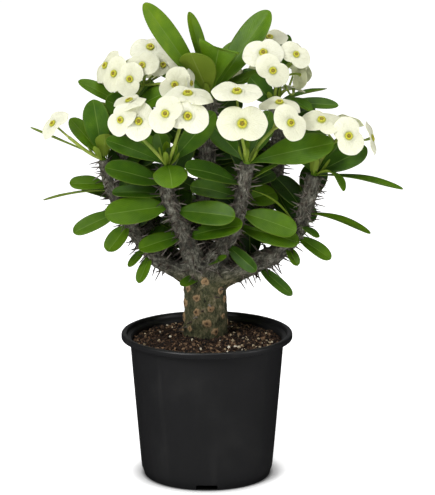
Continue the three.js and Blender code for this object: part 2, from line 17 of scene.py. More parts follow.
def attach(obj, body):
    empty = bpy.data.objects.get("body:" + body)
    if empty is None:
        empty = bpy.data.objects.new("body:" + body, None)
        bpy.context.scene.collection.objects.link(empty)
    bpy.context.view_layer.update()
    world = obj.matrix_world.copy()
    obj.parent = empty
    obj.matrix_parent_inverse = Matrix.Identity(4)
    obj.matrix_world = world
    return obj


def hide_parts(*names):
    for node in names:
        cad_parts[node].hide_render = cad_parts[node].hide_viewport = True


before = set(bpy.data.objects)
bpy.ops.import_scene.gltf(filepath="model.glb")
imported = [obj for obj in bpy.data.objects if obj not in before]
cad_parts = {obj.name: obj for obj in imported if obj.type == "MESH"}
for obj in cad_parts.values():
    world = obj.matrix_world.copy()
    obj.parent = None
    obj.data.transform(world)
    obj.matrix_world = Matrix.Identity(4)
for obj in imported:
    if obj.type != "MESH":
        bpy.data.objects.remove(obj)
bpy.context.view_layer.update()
bpy.ops.object.select_all(action="DESELECT")
dice = random.Random(41)
mm = 0.001
goldenTurn = 2.39996  # from one thorn or scar to the next around a stem


def pick(*things):
    if bpy.context.mode != "OBJECT":
        bpy.ops.object.mode_set(mode="OBJECT")
    bpy.ops.object.select_all(action="DESELECT")
    for thing in things:
        thing.select_set(True)
    bpy.context.view_layer.objects.active = things[0]


def openEdit(piece):
    pick(piece)
    bpy.ops.object.mode_set(mode="EDIT")


def closeEdit():
    bpy.ops.object.mode_set(mode="OBJECT")


def choose(test, kind="VERT"):
    # in edit mode, selects exactly the corners, edges or faces that pass the test
    bpy.ops.mesh.select_mode(type=kind)
    bpy.ops.mesh.select_all(action="DESELECT")
    live = bmesh.from_edit_mesh(bpy.context.edit_object.data)
    parts = {"VERT": live.verts, "EDGE": live.edges, "FACE": live.faces}[kind]
    for part in parts:
        if test(part):
            part.select_set(True)
    live.select_flush_mode()
    bmesh.update_edit_mesh(bpy.context.edit_object.data)


def tidyMesh(piece, gap=0.00001):
    openEdit(piece)
    bpy.ops.mesh.select_all(action="SELECT")
    bpy.ops.mesh.remove_doubles(threshold=gap)
    bpy.ops.mesh.normals_make_consistent(inside=False)
    closeEdit()


def addModifier(piece, kind, **settings):
    pick(piece)
    made = piece.modifiers.new(kind.title(), kind)
    for key, value in settings.items():
        setattr(made, key, value)
    bpy.ops.object.modifier_apply(modifier=made.name)


def cornersOf(piece):
    co = np.zeros(len(piece.data.vertices) * 3)
    piece.data.vertices.foreach_get("co", co)
    return co.reshape(-1, 3)


def setCorners(piece, co):
    piece.data.vertices.foreach_set("co", np.asarray(co).reshape(-1))
    piece.data.update()


def setValues(piece, name, values):
    found = piece.data.attributes.get(name) or piece.data.attributes.new(name, "FLOAT", "POINT")
    found.data.foreach_set("value", np.asarray(values, np.float32))


def getValues(piece, name):
    values = np.zeros(len(piece.data.vertices), np.float32)
    piece.data.attributes[name].data.foreach_get("value", values)
    return values


def smooth(piece, angle=None):
    pick(piece)
    if angle:
        bpy.ops.object.shade_smooth_by_angle(angle=math.radians(angle))
    else:
        bpy.ops.object.shade_smooth()


def copiesOf(master, shapes, name, tones):
    # one mesh that holds a copy of the master for each array of corners
    source = master.data
    count = len(source.vertices)
    faces = [list(face.vertices) for face in source.polygons]
    copies = range(len(shapes))
    allFaces = [[corner + count * number for corner in face] for number in copies for face in faces]
    mesh = bpy.data.meshes.new(name)
    mesh.from_pydata(np.concatenate(shapes).tolist(), [], allFaces)
    for setting in ("use_smooth", "material_index"):
        values = [getattr(face, setting) for face in source.polygons]
        mesh.polygons.foreach_set(setting, values * len(shapes))
    for surface in source.materials:
        mesh.materials.append(surface)
    if source.uv_layers:
        spots = np.zeros(len(source.loops) * 2, np.float32)
        source.uv_layers[0].data.foreach_get("uv", spots)
        mesh.uv_layers.new(name="flat").data.foreach_set("uv", np.tile(spots, len(shapes)))
    piece = bpy.data.objects.new(name, mesh)
    bpy.context.scene.collection.objects.link(piece)
    for kept in ("under", "along"):
        if source.attributes.get(kept):
            setValues(piece, kept, np.tile(getValues(master, kept), len(shapes)))
    setValues(piece, "tone", np.repeat(np.asarray(tones, np.float32), count))
    mesh.update()
    return piece


def joinAll(pieces, name):
    pick(*pieces)
    if len(pieces) > 1:
        bpy.ops.object.join()
    pieces[0].name = name
    return pieces[0]


def handOver(piece, name, slot, *nodes):
    piece.name = name
    piece.data.name = name
    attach(piece, "root")
    if nodes:
        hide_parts(*nodes)


def throwAway(*pieces):
    for piece in pieces:
        bpy.data.objects.remove(piece)


def unit(v):
    return v / max(np.linalg.norm(v), 1e-12)


class Value:
    # a node's output; arithmetic on it adds Math nodes
    def __init__(self, paint, socket):
        self.paint = paint
        self.socket = socket

    def math(self, operation, *others):
        inputs = dict(enumerate([self, *others]))
        return self.paint.node("ShaderNodeMath", {"operation": operation}, inputs)

    def __add__(self, other):
        return self.math("ADD", other)

    def __sub__(self, other):
        return self.math("SUBTRACT", other)

    def __mul__(self, other):
        return self.math("MULTIPLY", other)

    def __pow__(self, other):
        return self.math("POWER", other)

    def __rsub__(self, other):
        return self.paint.node("ShaderNodeMath", {"operation": "SUBTRACT"}, {0: other, 1: self})

    __radd__ = __add__
    __rmul__ = __mul__

    def within(self, low, high, start=0.0, end=1.0):
        # start at low and below, end at high and above, smooth in between
        inputs = {0: self, 1: low, 2: high, 3: start, 4: end}
        return self.paint.node("ShaderNodeMapRange", {"interpolation_type": "SMOOTHSTEP"}, inputs)


class Paint:
    def __init__(self, name, **constants):
        self.material = bpy.data.materials.new(name)
        self.material.use_nodes = True
        self.tree = self.material.node_tree
        self.shader = next(n for n in self.tree.nodes if n.type == "BSDF_PRINCIPLED")
        for key, value in constants.items():
            self.shader.inputs[key.replace("_", " ")].default_value = value

    def node(self, kind, settings=None, inputs=None, output=0):
        made = self.tree.nodes.new(kind)
        for key, value in (settings or {}).items():
            if key == "stops":
                ramp = made.color_ramp
                while len(ramp.elements) < len(value):
                    ramp.elements.new(1.0)
                for stop, (place, colour) in zip(ramp.elements, value):
                    stop.position = place
                    stop.color = (*colour, 1.0)
            else:
                setattr(made, key, value)
        for key, value in (inputs or {}).items():
            self.feed(made.inputs[key], value)
        return Value(self, made.outputs[output])

    def feed(self, socket, value):
        if isinstance(value, Value):
            self.tree.links.new(value.socket, socket)
        elif socket.type == "RGBA" and len(value) == 3:
            socket.default_value = (*value, 1.0)
        else:
            socket.default_value = value

    def spot(self, stretch=(1, 1, 1)):
        place = self.node("ShaderNodeTexCoord", output=3)
        return self.node("ShaderNodeMapping", {}, {0: place, 3: stretch})

    def attribute(self, name, output=2):
        return self.node("ShaderNodeAttribute", {"attribute_name": name}, output=output)

    def flatMap(self):
        # the piece's own UV map, as two numbers
        spots = self.node("ShaderNodeUVMap", {"uv_map": "flat"})
        split = self.node("ShaderNodeSeparateXYZ", {}, {0: spots})
        return split, Value(self, split.socket.node.outputs[1])

    def fromMiddle(self):
        # the place on the UV map from its middle, and how far out it is
        flatX, flatY = self.flatMap()
        x, y = flatX - 0.5, flatY - 0.5
        return x, y, (x * x + y * y) ** 0.5

    def noise(self, scale, detail=2.0, rough=0.5, at=None, warp=0.0):
        inputs = {"Vector": at or self.spot(), "Scale": scale, "Detail": detail}
        inputs |= {"Roughness": rough, "Distortion": warp}
        return self.node("ShaderNodeTexNoise", {}, inputs)

    def cells(self, scale):
        return self.node("ShaderNodeTexVoronoi", {}, {"Vector": self.spot(), "Scale": scale})

    def ramp(self, value, *stops):
        return self.node("ShaderNodeValToRGB", {"stops": stops}, {0: value})

    def grey(self, value):
        return self.node("ShaderNodeCombineColor", {}, {0: value, 1: value, 2: value})

    def blend(self, factor, one, two, mode="MIX"):
        settings = {"data_type": "RGBA", "blend_type": mode}
        return self.node("ShaderNodeMix", settings, {0: factor, 6: one, 7: two}, output=2)

    def bump(self, height, strength, distance, after=None):
        inputs = {"Height": height, "Strength": strength, "Distance": distance}
        if after:
            inputs["Normal"] = after
        return self.node("ShaderNodeBump", {}, inputs)

    def finish(self, colour=None, roughness=None, normal=None):
        links = {"Base Color": colour, "Roughness": roughness, "Normal": normal}
        for key, value in links.items():
            if value is not None:
                self.feed(self.shader.inputs[key], value)
        return self.material


studio = {
    "cameraPlace": (0.0105, -2.380, 0.768),
    "cameraPitch": 12.73,
    "lens": 180,
    "worldGlow": 0.2,
    "lamps": {  # place, the point it looks at, width and height, power
        "keyLamp": ((-1.3, -1.5, 1.5), (0, 0, 0.25), (0.9, 0.9), 34),
        "topLamp": ((0.1, -0.2, 1.9), (0, 0, 0.3), (1.2, 1.2), 14),
        "fillLamp": ((1.7, -0.9, 0.8), (0, 0, 0.2), (0.5, 1.2), 9),
        "backLamp": ((0, 3, 0.85), (0, 0, 0.15), (2.6, 0.7), 2),
    },
    "floorGlow": 0.84,
    "paintedShadowUnder": (0.06, 0.068),  # painted shadow under the pot: the floor is dark inside the first radius and pale past the second
    "glowFrom": (0.062, 0.084),  # its glow starts and is nearly full at these radii; with no glow inside them, the floor round the pot's foot keeps a painted shadow
    "farGlow": (0.3, 1.2),
    "floorSize": 40,
}

bpy.ops.object.camera_add(
    location=studio["cameraPlace"],
    rotation=(math.radians(90 - studio["cameraPitch"]), 0, 0),
)
camera = bpy.context.object
camera.data.lens = studio["lens"]
camera.data.clip_end = 100
bpy.context.scene.camera = camera
bpy.context.scene.view_settings.view_transform = "Standard"

world = bpy.data.worlds.new("studioWhite")
bpy.context.scene.world = world
world.use_nodes = True
world.node_tree.nodes["Background"].inputs[0].default_value = (1, 1, 1, 1)
world.node_tree.nodes["Background"].inputs[1].default_value = studio["worldGlow"]
world.cycles_visibility.glossy = False  # only the lamps show in the plastic and the leaves


def addLamp(name, place, aim, size, power):
    turn = (Vector(aim) - Vector(place)).to_track_quat("-Z", "Y").to_euler()
    bpy.ops.object.light_add(type="AREA", location=place, rotation=turn)
    lamp = bpy.context.object
    lamp.name = name
    lamp.data.shape = "RECTANGLE"
    lamp.data.size, lamp.data.size_y = size
    lamp.data.energy = power


for name, settings in studio["lamps"].items():
    addLamp(name, *settings)


def paintFloor():
    # pale, glowing a little by itself, with a painted shadow just under the pot
    paint = Paint("paleFloor", Emission_Strength=studio["floorGlow"], Specular_IOR_Level=0.0)
    away = paint.node("ShaderNodeVectorMath", {"operation": "LENGTH"}, {0: paint.spot()}, output=1)
    # painted shadow: the colour darkens and the glow fades out close round the pot's foot
    tone = (paint.noise(1.5, 1.0) * 0.02 + 0.93) * away.within(*studio["paintedShadowUnder"], 0.03, 1.0)
    glow = away.within(*studio["glowFrom"]) * 0.9 + away.within(*studio["farGlow"]) * 0.1
    paint.feed(paint.shader.inputs["Emission Color"], paint.grey(glow))
    return paint.finish(paint.grey(tone), 0.9)


bpy.ops.mesh.primitive_plane_add(size=studio["floorSize"], location=(0, 6, -0.1 * mm))
floor = bpy.context.object
floor.name = "floor"
bpy.ops.object.transform_apply(location=True)
floor.data.materials.append(paintFloor())
floor.visible_glossy = False  # so that the plastic doesn't mirror it
print("studio ready")

pot = {
    "steps": 128,
    "profile": [  # radius and height in mm, from the underside's middle round to the inside's middle
        (0, 0), (33.4, 0), (34.2, 0.3), (39.6, 5.7), (40.6, 6),  # flat middle and raised floor
        (57.4, 6), (58.2, 5.4), (58.9, 0.5), (59.5, 0), (62.4, 0), (63, 0.5),  # foot ring
        (64.2, 4.5), (65.5, 8), (66, 12), (68.6, 42), (71.3, 74), (73.9, 106), (76.1, 134),  # wall
        (76.6, 137.6), (77.4, 138.6), (78.6, 139), (81.2, 139.2), (81.8, 139.5), (82.6, 139.4),  # lip
        (84.1, 139.3), (84.8, 139.6), (85, 140.3), (85, 142.9), (84.8, 143.8), (84.3, 144.5),
        (83.5, 144.9), (82.3, 145), (81, 144.9), (80.2, 144.5), (79.7, 143.8), (79.4, 142.6),
        (78.9, 141.4), (77.8, 140.8), (75.7, 140.2), (74.6, 138.8),
        (74.1, 134), (72.2, 110), (69, 72), (66.2, 38), (64, 12), (62.6, 9),  # inside
        (61, 8), (39, 8), (33, 2), (0, 2),
    ],
    "slotCount": 4,
    "slotSize": (13, 21, 11),  # through the wall, along it, and twice the slot's height
    "slotRing": 62,
    "slotCorner": 1.6,
    "drainCount": 6,
    "drainRadius": 5,
    "drainRing": 49,
    "drainMiddle": 7,
    "drainDepth": 8,
    "lipDust": (136, 145),  # dust grows between these heights
    "colour": (0.0105, 0.0105, 0.0112),
    "dust": (0.05, 0.048, 0.045),
}


def spunProfile(name, profile, steps):
    # one corner is dragged along the profile and the line is spun about the upright axis
    bpy.ops.mesh.primitive_plane_add(size=0.01, location=(0, 0, 0))
    made = bpy.context.object
    made.name = name
    openEdit(made)
    bpy.ops.mesh.select_all(action="SELECT")
    bpy.ops.mesh.merge(type="CENTER")
    radius, height = profile[0]
    bpy.ops.transform.translate(value=(radius * mm, 0, height * mm))
    for nextRadius, nextHeight in profile[1:]:
        step = ((nextRadius - radius) * mm, 0, (nextHeight - height) * mm)
        bpy.ops.mesh.extrude_region_move(TRANSFORM_OT_translate={"value": step})
        radius, height = nextRadius, nextHeight
    bpy.ops.mesh.select_all(action="SELECT")
    bpy.ops.mesh.spin(steps=steps, angle=2 * math.pi, center=(0, 0, 0), axis=(0, 0, 1))
    closeEdit()
    tidyMesh(made)
    return made


def cutAway(piece, cutter):
    addModifier(piece, "BOOLEAN", operation="DIFFERENCE", object=cutter, solver="EXACT")
    throwAway(cutter)


def aroundPot(count):
    # directions spaced evenly about the pot's axis, the first to the front, with their angles
    for index in range(count):
        turn = 2 * math.pi * index / count - math.pi / 2
        yield Vector((math.cos(turn), math.sin(turn), 0)), turn


def makePot():
    made = spunProfile("potShell", pot["profile"], pot["steps"])
    for ahead, turn in aroundPot(pot["slotCount"]):
        place = ahead * pot["slotRing"] * mm
        bpy.ops.mesh.primitive_cube_add(size=1, location=place, rotation=(0, 0, turn))
        slotCutter = bpy.context.object
        slotCutter.scale = [side * mm for side in pot["slotSize"]]
        pick(slotCutter)
        bpy.ops.object.transform_apply(location=False, rotation=False, scale=True)
        addModifier(slotCutter, "BEVEL", width=pot["slotCorner"] * mm, segments=3)
        cutAway(made, slotCutter)
    for ahead, _ in aroundPot(pot["drainCount"]):
        place = ahead * pot["drainRing"] * mm + Vector((0, 0, pot["drainMiddle"] * mm))
        radius, depth = pot["drainRadius"] * mm, pot["drainDepth"] * mm
        bpy.ops.mesh.primitive_cylinder_add(vertices=24, radius=radius, depth=depth, location=place)
        cutAway(made, bpy.context.object)
    smooth(made, 32)
    return made


def paintPot():
    # black plastic with a fine grain, faint upright streaks and dust that lies most near the lip
    paint = Paint("pottedBlackPlastic", Specular_IOR_Level=0.4)
    streak = paint.noise(60, 3, 0.6, at=paint.spot((1, 1, 0.06)))
    grain = paint.noise(900, 2)
    patch = paint.noise(18, 4, 0.6)
    height = paint.node("ShaderNodeSeparateXYZ", {}, {0: paint.spot()}, output=2)
    nearTop = height.within(*[value * mm for value in pot["lipDust"]])
    dust = (patch.within(0.5, 0.8) * 0.35 + streak.within(0.52, 0.75) * 0.25) * (0.35 + nearTop * 0.5)
    colour = paint.blend(dust, pot["colour"], pot["dust"])
    roughness = 0.38 + patch * 0.16 + streak * 0.08 - nearTop * 0.1
    normal = paint.bump(grain, 0.12, 0.0002)
    normal = paint.bump(streak, 0.05, 0.0006, normal)
    return paint.finish(colour, roughness, normal)


potPiece = makePot()
potPiece.data.materials.clear()
potPiece.data.materials.append(paintPot())
handOver(potPiece, "nursery_pot", "pot_plastic", "pot")
print("pot ready", len(potPiece.data.polygons))

soil = {
    "topRadius": 73.6,
    "lowRadius": 59,
    "bottom": 8.5,
    "line": 136,
    "mound": 4,
    "sink": 0.6,
    "lumps": [(55, 1.5, 1.3), (160, 1.3, 4.1), (420, 0.9, 7.7)],  # fineness, height, noise layer
    "rings": 30,
    "edgeGap": 1.8,
    "trunkMiddle": (-2, 12),
    "trunkRadius": 22.5,
    "crumbs": 2300,
    "chips": 300,
    "grains": 85,
    "fibres": 22,
    "crumbSize": (1.8, 4.6),
    "chipSize": (2.2, 6),
    "grainSize": (1.9, 4.4),
    "fibreLength": (6, 13),
    "dark": (0.008, 0.0045, 0.003),
    "warm": (0.034, 0.017, 0.009),
    "pale": (0.085, 0.045, 0.024),
}


def soilHeight(x, y):
    # the top of the mix over a point, in metres, before the loose bits
    out = math.hypot(x, y) / (soil["topRadius"] * mm)
    rise = soil["mound"] * max(0, 1 - out ** 2)
    lumps = sum(tall * noise.noise((x * fine, y * fine, layer)) for fine, tall, layer in soil["lumps"])
    return (soil["line"] + rise + lumps - soil["sink"]) * mm


def makeSoil():
    deep = soil["line"] - soil["bottom"]
    middle = (0, 0, (soil["line"] + soil["bottom"]) / 2 * mm)
    radius = soil["topRadius"] * mm
    bpy.ops.mesh.primitive_cylinder_add(vertices=96, radius=radius, depth=deep * mm, location=middle)
    made = bpy.context.object
    pick(made)
    bpy.ops.object.transform_apply(location=True)
    openEdit(made)
    choose(lambda face: face.normal.z < -0.9, "FACE")
    shrink = soil["lowRadius"] / soil["topRadius"]
    bpy.ops.transform.resize(value=(shrink, shrink, 1), center_override=(0, 0, 0))
    choose(lambda face: face.normal.z > 0.9, "FACE")
    for _ in range(soil["rings"] - 1):
        bpy.ops.mesh.inset(thickness=soil["topRadius"] / soil["rings"] * mm)
    bpy.ops.mesh.poke()
    bpy.ops.mesh.select_all(action="DESELECT")
    closeEdit()
    addModifier(made, "SUBSURF", subdivision_type="SIMPLE", levels=1, render_levels=1)
    co = cornersOf(made)
    for corner in co:
        if corner[2] > soil["line"] * mm - 1e-5:
            corner[2] = soilHeight(corner[0], corner[1])
    setCorners(made, co)
    smooth(made)
    return made


def roughLump(name, size, faces):
    # a knobbly grain, about one unit across, for copying
    bpy.ops.mesh.primitive_ico_sphere_add(subdivisions=faces, radius=0.5, location=(0, 0, 0))
    made = bpy.context.object
    made.name = name
    openEdit(made)
    choose(lambda corner: corner.co.z > 0.2)
    bpy.ops.transform.resize(value=(0.7, 0.9, 0.8), center_override=(0, 0, 0))
    choose(lambda corner: corner.co.x < -0.2)
    bpy.ops.transform.translate(value=(0.08, 0.05, -0.06))
    bpy.ops.mesh.select_all(action="SELECT")
    bpy.ops.transform.resize(value=size, center_override=(0, 0, 0))
    closeEdit()
    return made


def barkChip():
    # a split sliver of bark, one unit long
    bpy.ops.mesh.primitive_cube_add(size=1, location=(0, 0, 0))
    made = bpy.context.object
    openEdit(made)
    bpy.ops.mesh.select_all(action="SELECT")
    bpy.ops.transform.resize(value=(1, 0.42, 0.2), center_override=(0, 0, 0))
    choose(lambda face: face.normal.x > 0.9, "FACE")
    bpy.ops.transform.resize(value=(1, 0.45, 0.5), center_override=(0.5, 0.05, 0))
    bpy.ops.mesh.extrude_region_move(TRANSFORM_OT_translate={"value": (0.14, 0.04, 0.03)})
    bpy.ops.transform.resize(value=(1, 0.5, 0.4), center_override=(0.64, 0.09, 0.03))
    choose(lambda face: face.normal.x < -0.9, "FACE")
    bpy.ops.transform.resize(value=(1, 0.8, 0.7), center_override=(-0.5, -0.04, 0.02))
    closeEdit()
    return made


def fibre():
    # a thin root, one unit long, bent at two places: modelled upright, then laid along x
    bpy.ops.mesh.primitive_cylinder_add(vertices=4, radius=0.022, depth=0.34, location=(0, 0, -0.33))
    made = bpy.context.object
    pick(made)
    bpy.ops.object.transform_apply(location=True)
    openEdit(made)
    choose(lambda face: face.normal.z > 0.9, "FACE")
    bpy.ops.mesh.extrude_region_move(TRANSFORM_OT_translate={"value": (0.1, 0.02, 0.3)})
    bpy.ops.mesh.extrude_region_move(TRANSFORM_OT_translate={"value": (0.16, -0.06, 0.24)})
    bpy.ops.transform.resize(value=(0.5, 0.5, 1))
    closeEdit()
    setCorners(made, cornersOf(made)[:, [2, 0, 1]])
    return made


def turned(shape, size, spin, tilt, roll, place):
    # a copy's corners: scaled, turned about three axes and put in place
    a, b, c = spin, tilt, roll
    turnX = np.array([[1, 0, 0], [0, math.cos(b), -math.sin(b)], [0, math.sin(b), math.cos(b)]])
    turnY = np.array([[math.cos(c), 0, math.sin(c)], [0, 1, 0], [-math.sin(c), 0, math.cos(c)]])
    turnZ = np.array([[math.cos(a), -math.sin(a), 0], [math.sin(a), math.cos(a), 0], [0, 0, 1]])
    return (shape * size) @ (turnZ @ turnX @ turnY).T + place


def scatterOnSoil(master, count, sizes, lift, lean, frontRight):
    # copies all over the mix, clear of the trunk: lift is a share of a copy's size, lean the most
    # that it tips, in radians, and frontRight the share turned down away from the front right
    shape = cornersOf(master)
    shapes, tones = [], []
    trunkX, trunkY = [value * mm for value in soil["trunkMiddle"]]
    while len(shapes) < count:
        out = (soil["topRadius"] - soil["edgeGap"]) * mm * math.sqrt(dice.random())
        around = dice.uniform(0, 2 * math.pi)
        x, y = out * math.cos(around), out * math.sin(around)
        if math.hypot(x - trunkX, y - trunkY) < soil["trunkRadius"] * mm:
            continue
        wanted = 1.0 if (x > 10 * mm and y < trunkY) else 1.0 - frontRight
        if dice.random() > wanted:
            continue
        size = dice.uniform(*sizes) * mm
        place = (x, y, soilHeight(x, y) + lift * size)
        tilt = dice.uniform(-lean, lean)
        roll = dice.uniform(-lean, lean)
        shapes.append(turned(shape, size, dice.uniform(0, 6.28), tilt, roll, place))
        tones.append(dice.random())
    return shapes, tones


def paintSoil():
    paint = Paint("pottingMix", Specular_IOR_Level=0.25)
    coarse = paint.noise(170, 4, 0.65)
    fine = paint.noise(700, 3, 0.6)
    grains = paint.cells(420)
    stops = (0.3, soil["dark"]), (0.52, soil["warm"]), (0.72, soil["pale"])
    colour = paint.ramp(coarse * 0.6 + fine * 0.4, *stops)
    colour = paint.blend(grains.within(0.0, 0.35, 0.55, 0.0), colour, (0.006, 0.004, 0.003))
    normal = paint.bump(coarse * 0.5 + fine * 0.3 + grains * 0.4, 0.9, 0.0016)
    return paint.finish(colour, 0.82 + fine * 0.15, normal)


def paintBits(name, stops, scale=900):
    paint = Paint(name, Specular_IOR_Level=0.3)
    tone = paint.attribute("tone")
    spots = paint.noise(scale, 3, 0.6)
    colour = paint.ramp(tone * 0.75 + spots * 0.25, *stops)
    colour = paint.blend(spots.within(0.3, 0.55, 0.45, 0.0), colour, (0.012, 0.008, 0.005))
    normal = paint.bump(spots, 0.6, 0.0004)
    return paint.finish(colour, 0.7 + spots * 0.25, normal)


soilPiece = makeSoil()
soilPiece.data.materials.append(paintSoil())
handOver(soilPiece, "potting_mix", "soil", "soil")

crumbPaint = paintBits("mixCrumbs", [
    (0.1, (0.006, 0.004, 0.003)), (0.5, (0.018, 0.010, 0.006)),
    (0.72, (0.065, 0.033, 0.017)), (0.88, (0.24, 0.15, 0.085)),
])
chipPaint = paintBits("barkChips", [
    (0.1, (0.015, 0.008, 0.005)), (0.5, (0.06, 0.03, 0.015)),
    (0.8, (0.2, 0.115, 0.06)), (1.0, (0.42, 0.3, 0.18)),
])
grainPaint = paintBits("perliteGrains", [
    (0.1, (0.3, 0.22, 0.12)), (0.5, (0.55, 0.46, 0.31)), (0.85, (0.82, 0.76, 0.62)),
], 1100)
fibrePaint = paintBits("rootFibres", [(0.0, (0.10, 0.05, 0.025)), (1.0, (0.38, 0.26, 0.16))])

crumb = roughLump("crumb", (1.1, 0.9, 0.75), 1)
grain = roughLump("grain", (1, 1, 0.9), 1)
looseBits = []
for master, paint, count, sizes, lift, lean, frontRight in [
    (crumb, crumbPaint, soil["crumbs"], soil["crumbSize"], 0.16, 3.1, 0.0),
    (barkChip(), chipPaint, soil["chips"], soil["chipSize"], 0.2, 0.7, 0.0),
    (grain, grainPaint, soil["grains"], soil["grainSize"], 0.25, 3.1, 0.78),
    (fibre(), fibrePaint, soil["fibres"], soil["fibreLength"], 0.05, 0.35, 0.0),
]:
    master.data.materials.append(paint)
    shapes, tones = scatterOnSoil(master, count, sizes, lift, lean, frontRight)
    looseBits.append(copiesOf(master, shapes, "bits", tones))
    throwAway(master)
bitsPiece = joinAll(looseBits, "soil_bits")
handOver(bitsPiece, "soil_bits", "soil")
print("soil ready", len(soilPiece.data.polygons), len(bitsPiece.data.polygons))

stem = {
    "voxel": 1.35,
    "soilLine": 136,
    "trunkMiddle": (-2, 12),
    "trunkRadius": 21.5,
    "trunkTop": (58, 74),  # the trunk's bark turns into the branches' between these heights
    "thornStep": 1.1,
    "thornLength": (10, 16.5),
    "thornThick": 7.2,
    "sideThornThick": 5,
    "thornStart": {  # how far along its branch the first thorn stands
        "farLeft": 34, "frontLeft": 14, "frontRight": 14, "right": 30, "backRight": 24, "backLeft": 28,
        "centre": 26,
    },
    "trunkThorns": 16,
    "trunkThornSpan": (24, 52),  # the lowest one's way up the trunk and the span of them all
    "trunkThornLength": (7.5, 11),
    "trunkThornThick": 8.5,
    "knobReach": 2.6,
    "knobHeight": 1.25,
    "scars": 30,
    "scarSpan": (4, 60),  # the lowest one's height and the span of them all
    "scarWidth": 4.6,
    "scarHeight": 4.2,
    "scarRise": 2.3,
    "scarPit": 0.7,
    "scarReach": 9,
}

# x, y, height over the soil line and radius along each branch, in mm
routes = {
    "trunk": [
        (-2, 12, -20, 18.5), (-2, 12, 0, 22.5), (-1, 12, 26, 21.5), (-2, 12, 50, 21.5),
        (-4, 12, 68, 19.5), (-4, 13, 80, 12.5),
    ],
    "farLeft": [
        (-8, 12, 58, 13), (-28, 10, 70, 10.5), (-49, 8, 81, 8.5), (-68, 6, 104, 6.8),
        (-85, 5, 132, 6.2), (-96, 4, 157, 5.8), (-101, 2, 182, 5.6),
    ],
    "frontLeft": [
        (-6, 12, 56, 15), (-11, 8, 76, 12), (-21, 2, 104, 9), (-28, -4, 124, 8.2),
        (-37, -12, 145, 7.5), (-40, -16, 160, 7), (-38, -22, 181, 6.8),
    ],
    "frontRight": [
        (0, 12, 56, 15), (6, 10, 76, 12), (16, 6, 95, 9.5), (27, -4, 115, 8.2),
        (32, -10, 135, 7.5), (35, -15, 156, 7.2), (39, -20, 183, 7.4),
    ],
    "right": [
        (2, 12, 56, 15), (20, 10, 66, 13), (43, 8, 75, 11), (67, 5, 86, 9.5), (85, 2, 104, 8),
        (94, 0, 123, 7.2), (100, -2, 146, 7.5), (105, -4, 168, 7.8),
    ],
    "backRight": [
        (4, 16, 60, 14), (18, 22, 76, 11.5), (40, 32, 94, 9.5), (57, 40, 125, 8.2),
        (69, 44, 159, 7.8), (71, 46, 194, 7.4), (67, 46, 229, 7),
    ],
    "backLeft": [
        (-8, 16, 60, 14), (-27, 25, 70, 10.5), (-51, 31, 97, 8.8), (-72, 33, 124, 7.8),
        (-85, 34, 156, 7.2), (-84, 34, 191, 7), (-74, 32, 224, 6.8),
    ],
    "centre": [
        (-2, 16, 60, 16), (-5, 22, 80, 13), (-4, 32, 112, 9.5), (0, 36, 160, 8.6),
        (2, 35, 206, 8.2), (3, 32, 238, 7.8),
    ],
}


def placeOf(x, y, height):
    return np.array([x, y, height + stem["soilLine"]]) * mm


def walkRoute(branch):
    # points about 1 mm apart along a branch: place, direction, radius and way travelled in mm
    route = routes[branch]
    walked = []
    way = 0.0
    for one, two in zip(route, route[1:]):
        start, end = placeOf(*one[:3]), placeOf(*two[:3])
        ahead = unit(end - start)
        length = np.linalg.norm(end - start) / mm
        pieces = max(1, round(length))
        for index in range(pieces):
            share = index / pieces
            radius = one[3] + share * (two[3] - one[3])
            walked.append((start + share * (end - start), ahead, radius * mm, way + share * length))
        way += length
    walked.append((placeOf(*route[-1][:3]), ahead, route[-1][3] * mm, way))
    return walked


def sideways(ahead):
    # two directions across a branch, at right angles to each other
    level = unit(np.cross(ahead, (0.13, 1, 0.05)))
    return level, unit(np.cross(ahead, level))


walks = {branch: walkRoute(branch) for branch in routes}


def scarSites():
    # height over the soil line, angle about the trunk and size of each leaf scar
    sites = []
    lowest, span = stem["scarSpan"]
    for index in range(stem["scars"]):
        height = lowest + span * (index + 0.5) / stem["scars"] + dice.uniform(-2, 2)
        around = index * goldenTurn + 0.5 + dice.uniform(-0.25, 0.25)
        sites.append((height, around, dice.uniform(0.65, 1.25)))
    return sites


def stemBody():
    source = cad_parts["woody_stem"]
    made = bpy.data.objects.new("stemBody", source.data.copy())
    bpy.context.scene.collection.objects.link(made)
    made.data.materials.clear()
    tidyMesh(made, 0.000001)
    addModifier(made, "REMESH", mode="VOXEL", voxel_size=stem["voxel"] * mm, use_smooth_shade=True)
    addModifier(made, "SMOOTH", factor=0.5, iterations=7)
    return made


def stepAt(branch, way):
    return min(walks[branch], key=lambda step: abs(step[3] - way))


def outward(tree, branch, way, around):
    # the bark point on a branch at a way along it and an angle about it, or nothing inside a fork
    place, ahead, radius, _ = stepAt(branch, way)
    level, other = sideways(ahead)
    direction = unit(level * math.cos(around) + other * math.sin(around))
    hit, _, _, distance = tree.ray_cast(Vector(place), Vector(direction))
    if hit is None or distance > radius * 1.5:
        return None
    return np.array(hit), direction, ahead


def thornSites(tree):
    # foot, outward direction, branch direction and share of the branch's length of each thorn
    sites = []
    for branch, start in stem["thornStart"].items():
        length = walks[branch][-1][3]
        way = start
        turn = dice.uniform(0, 6)
        while way < length - 1:
            found = outward(tree, branch, way, turn)
            if found:
                sites.append((*found, way / length))
            way += stem["thornStep"] * dice.uniform(0.8, 1.2)
            turn += goldenTurn + dice.uniform(-0.3, 0.3)
    return sites


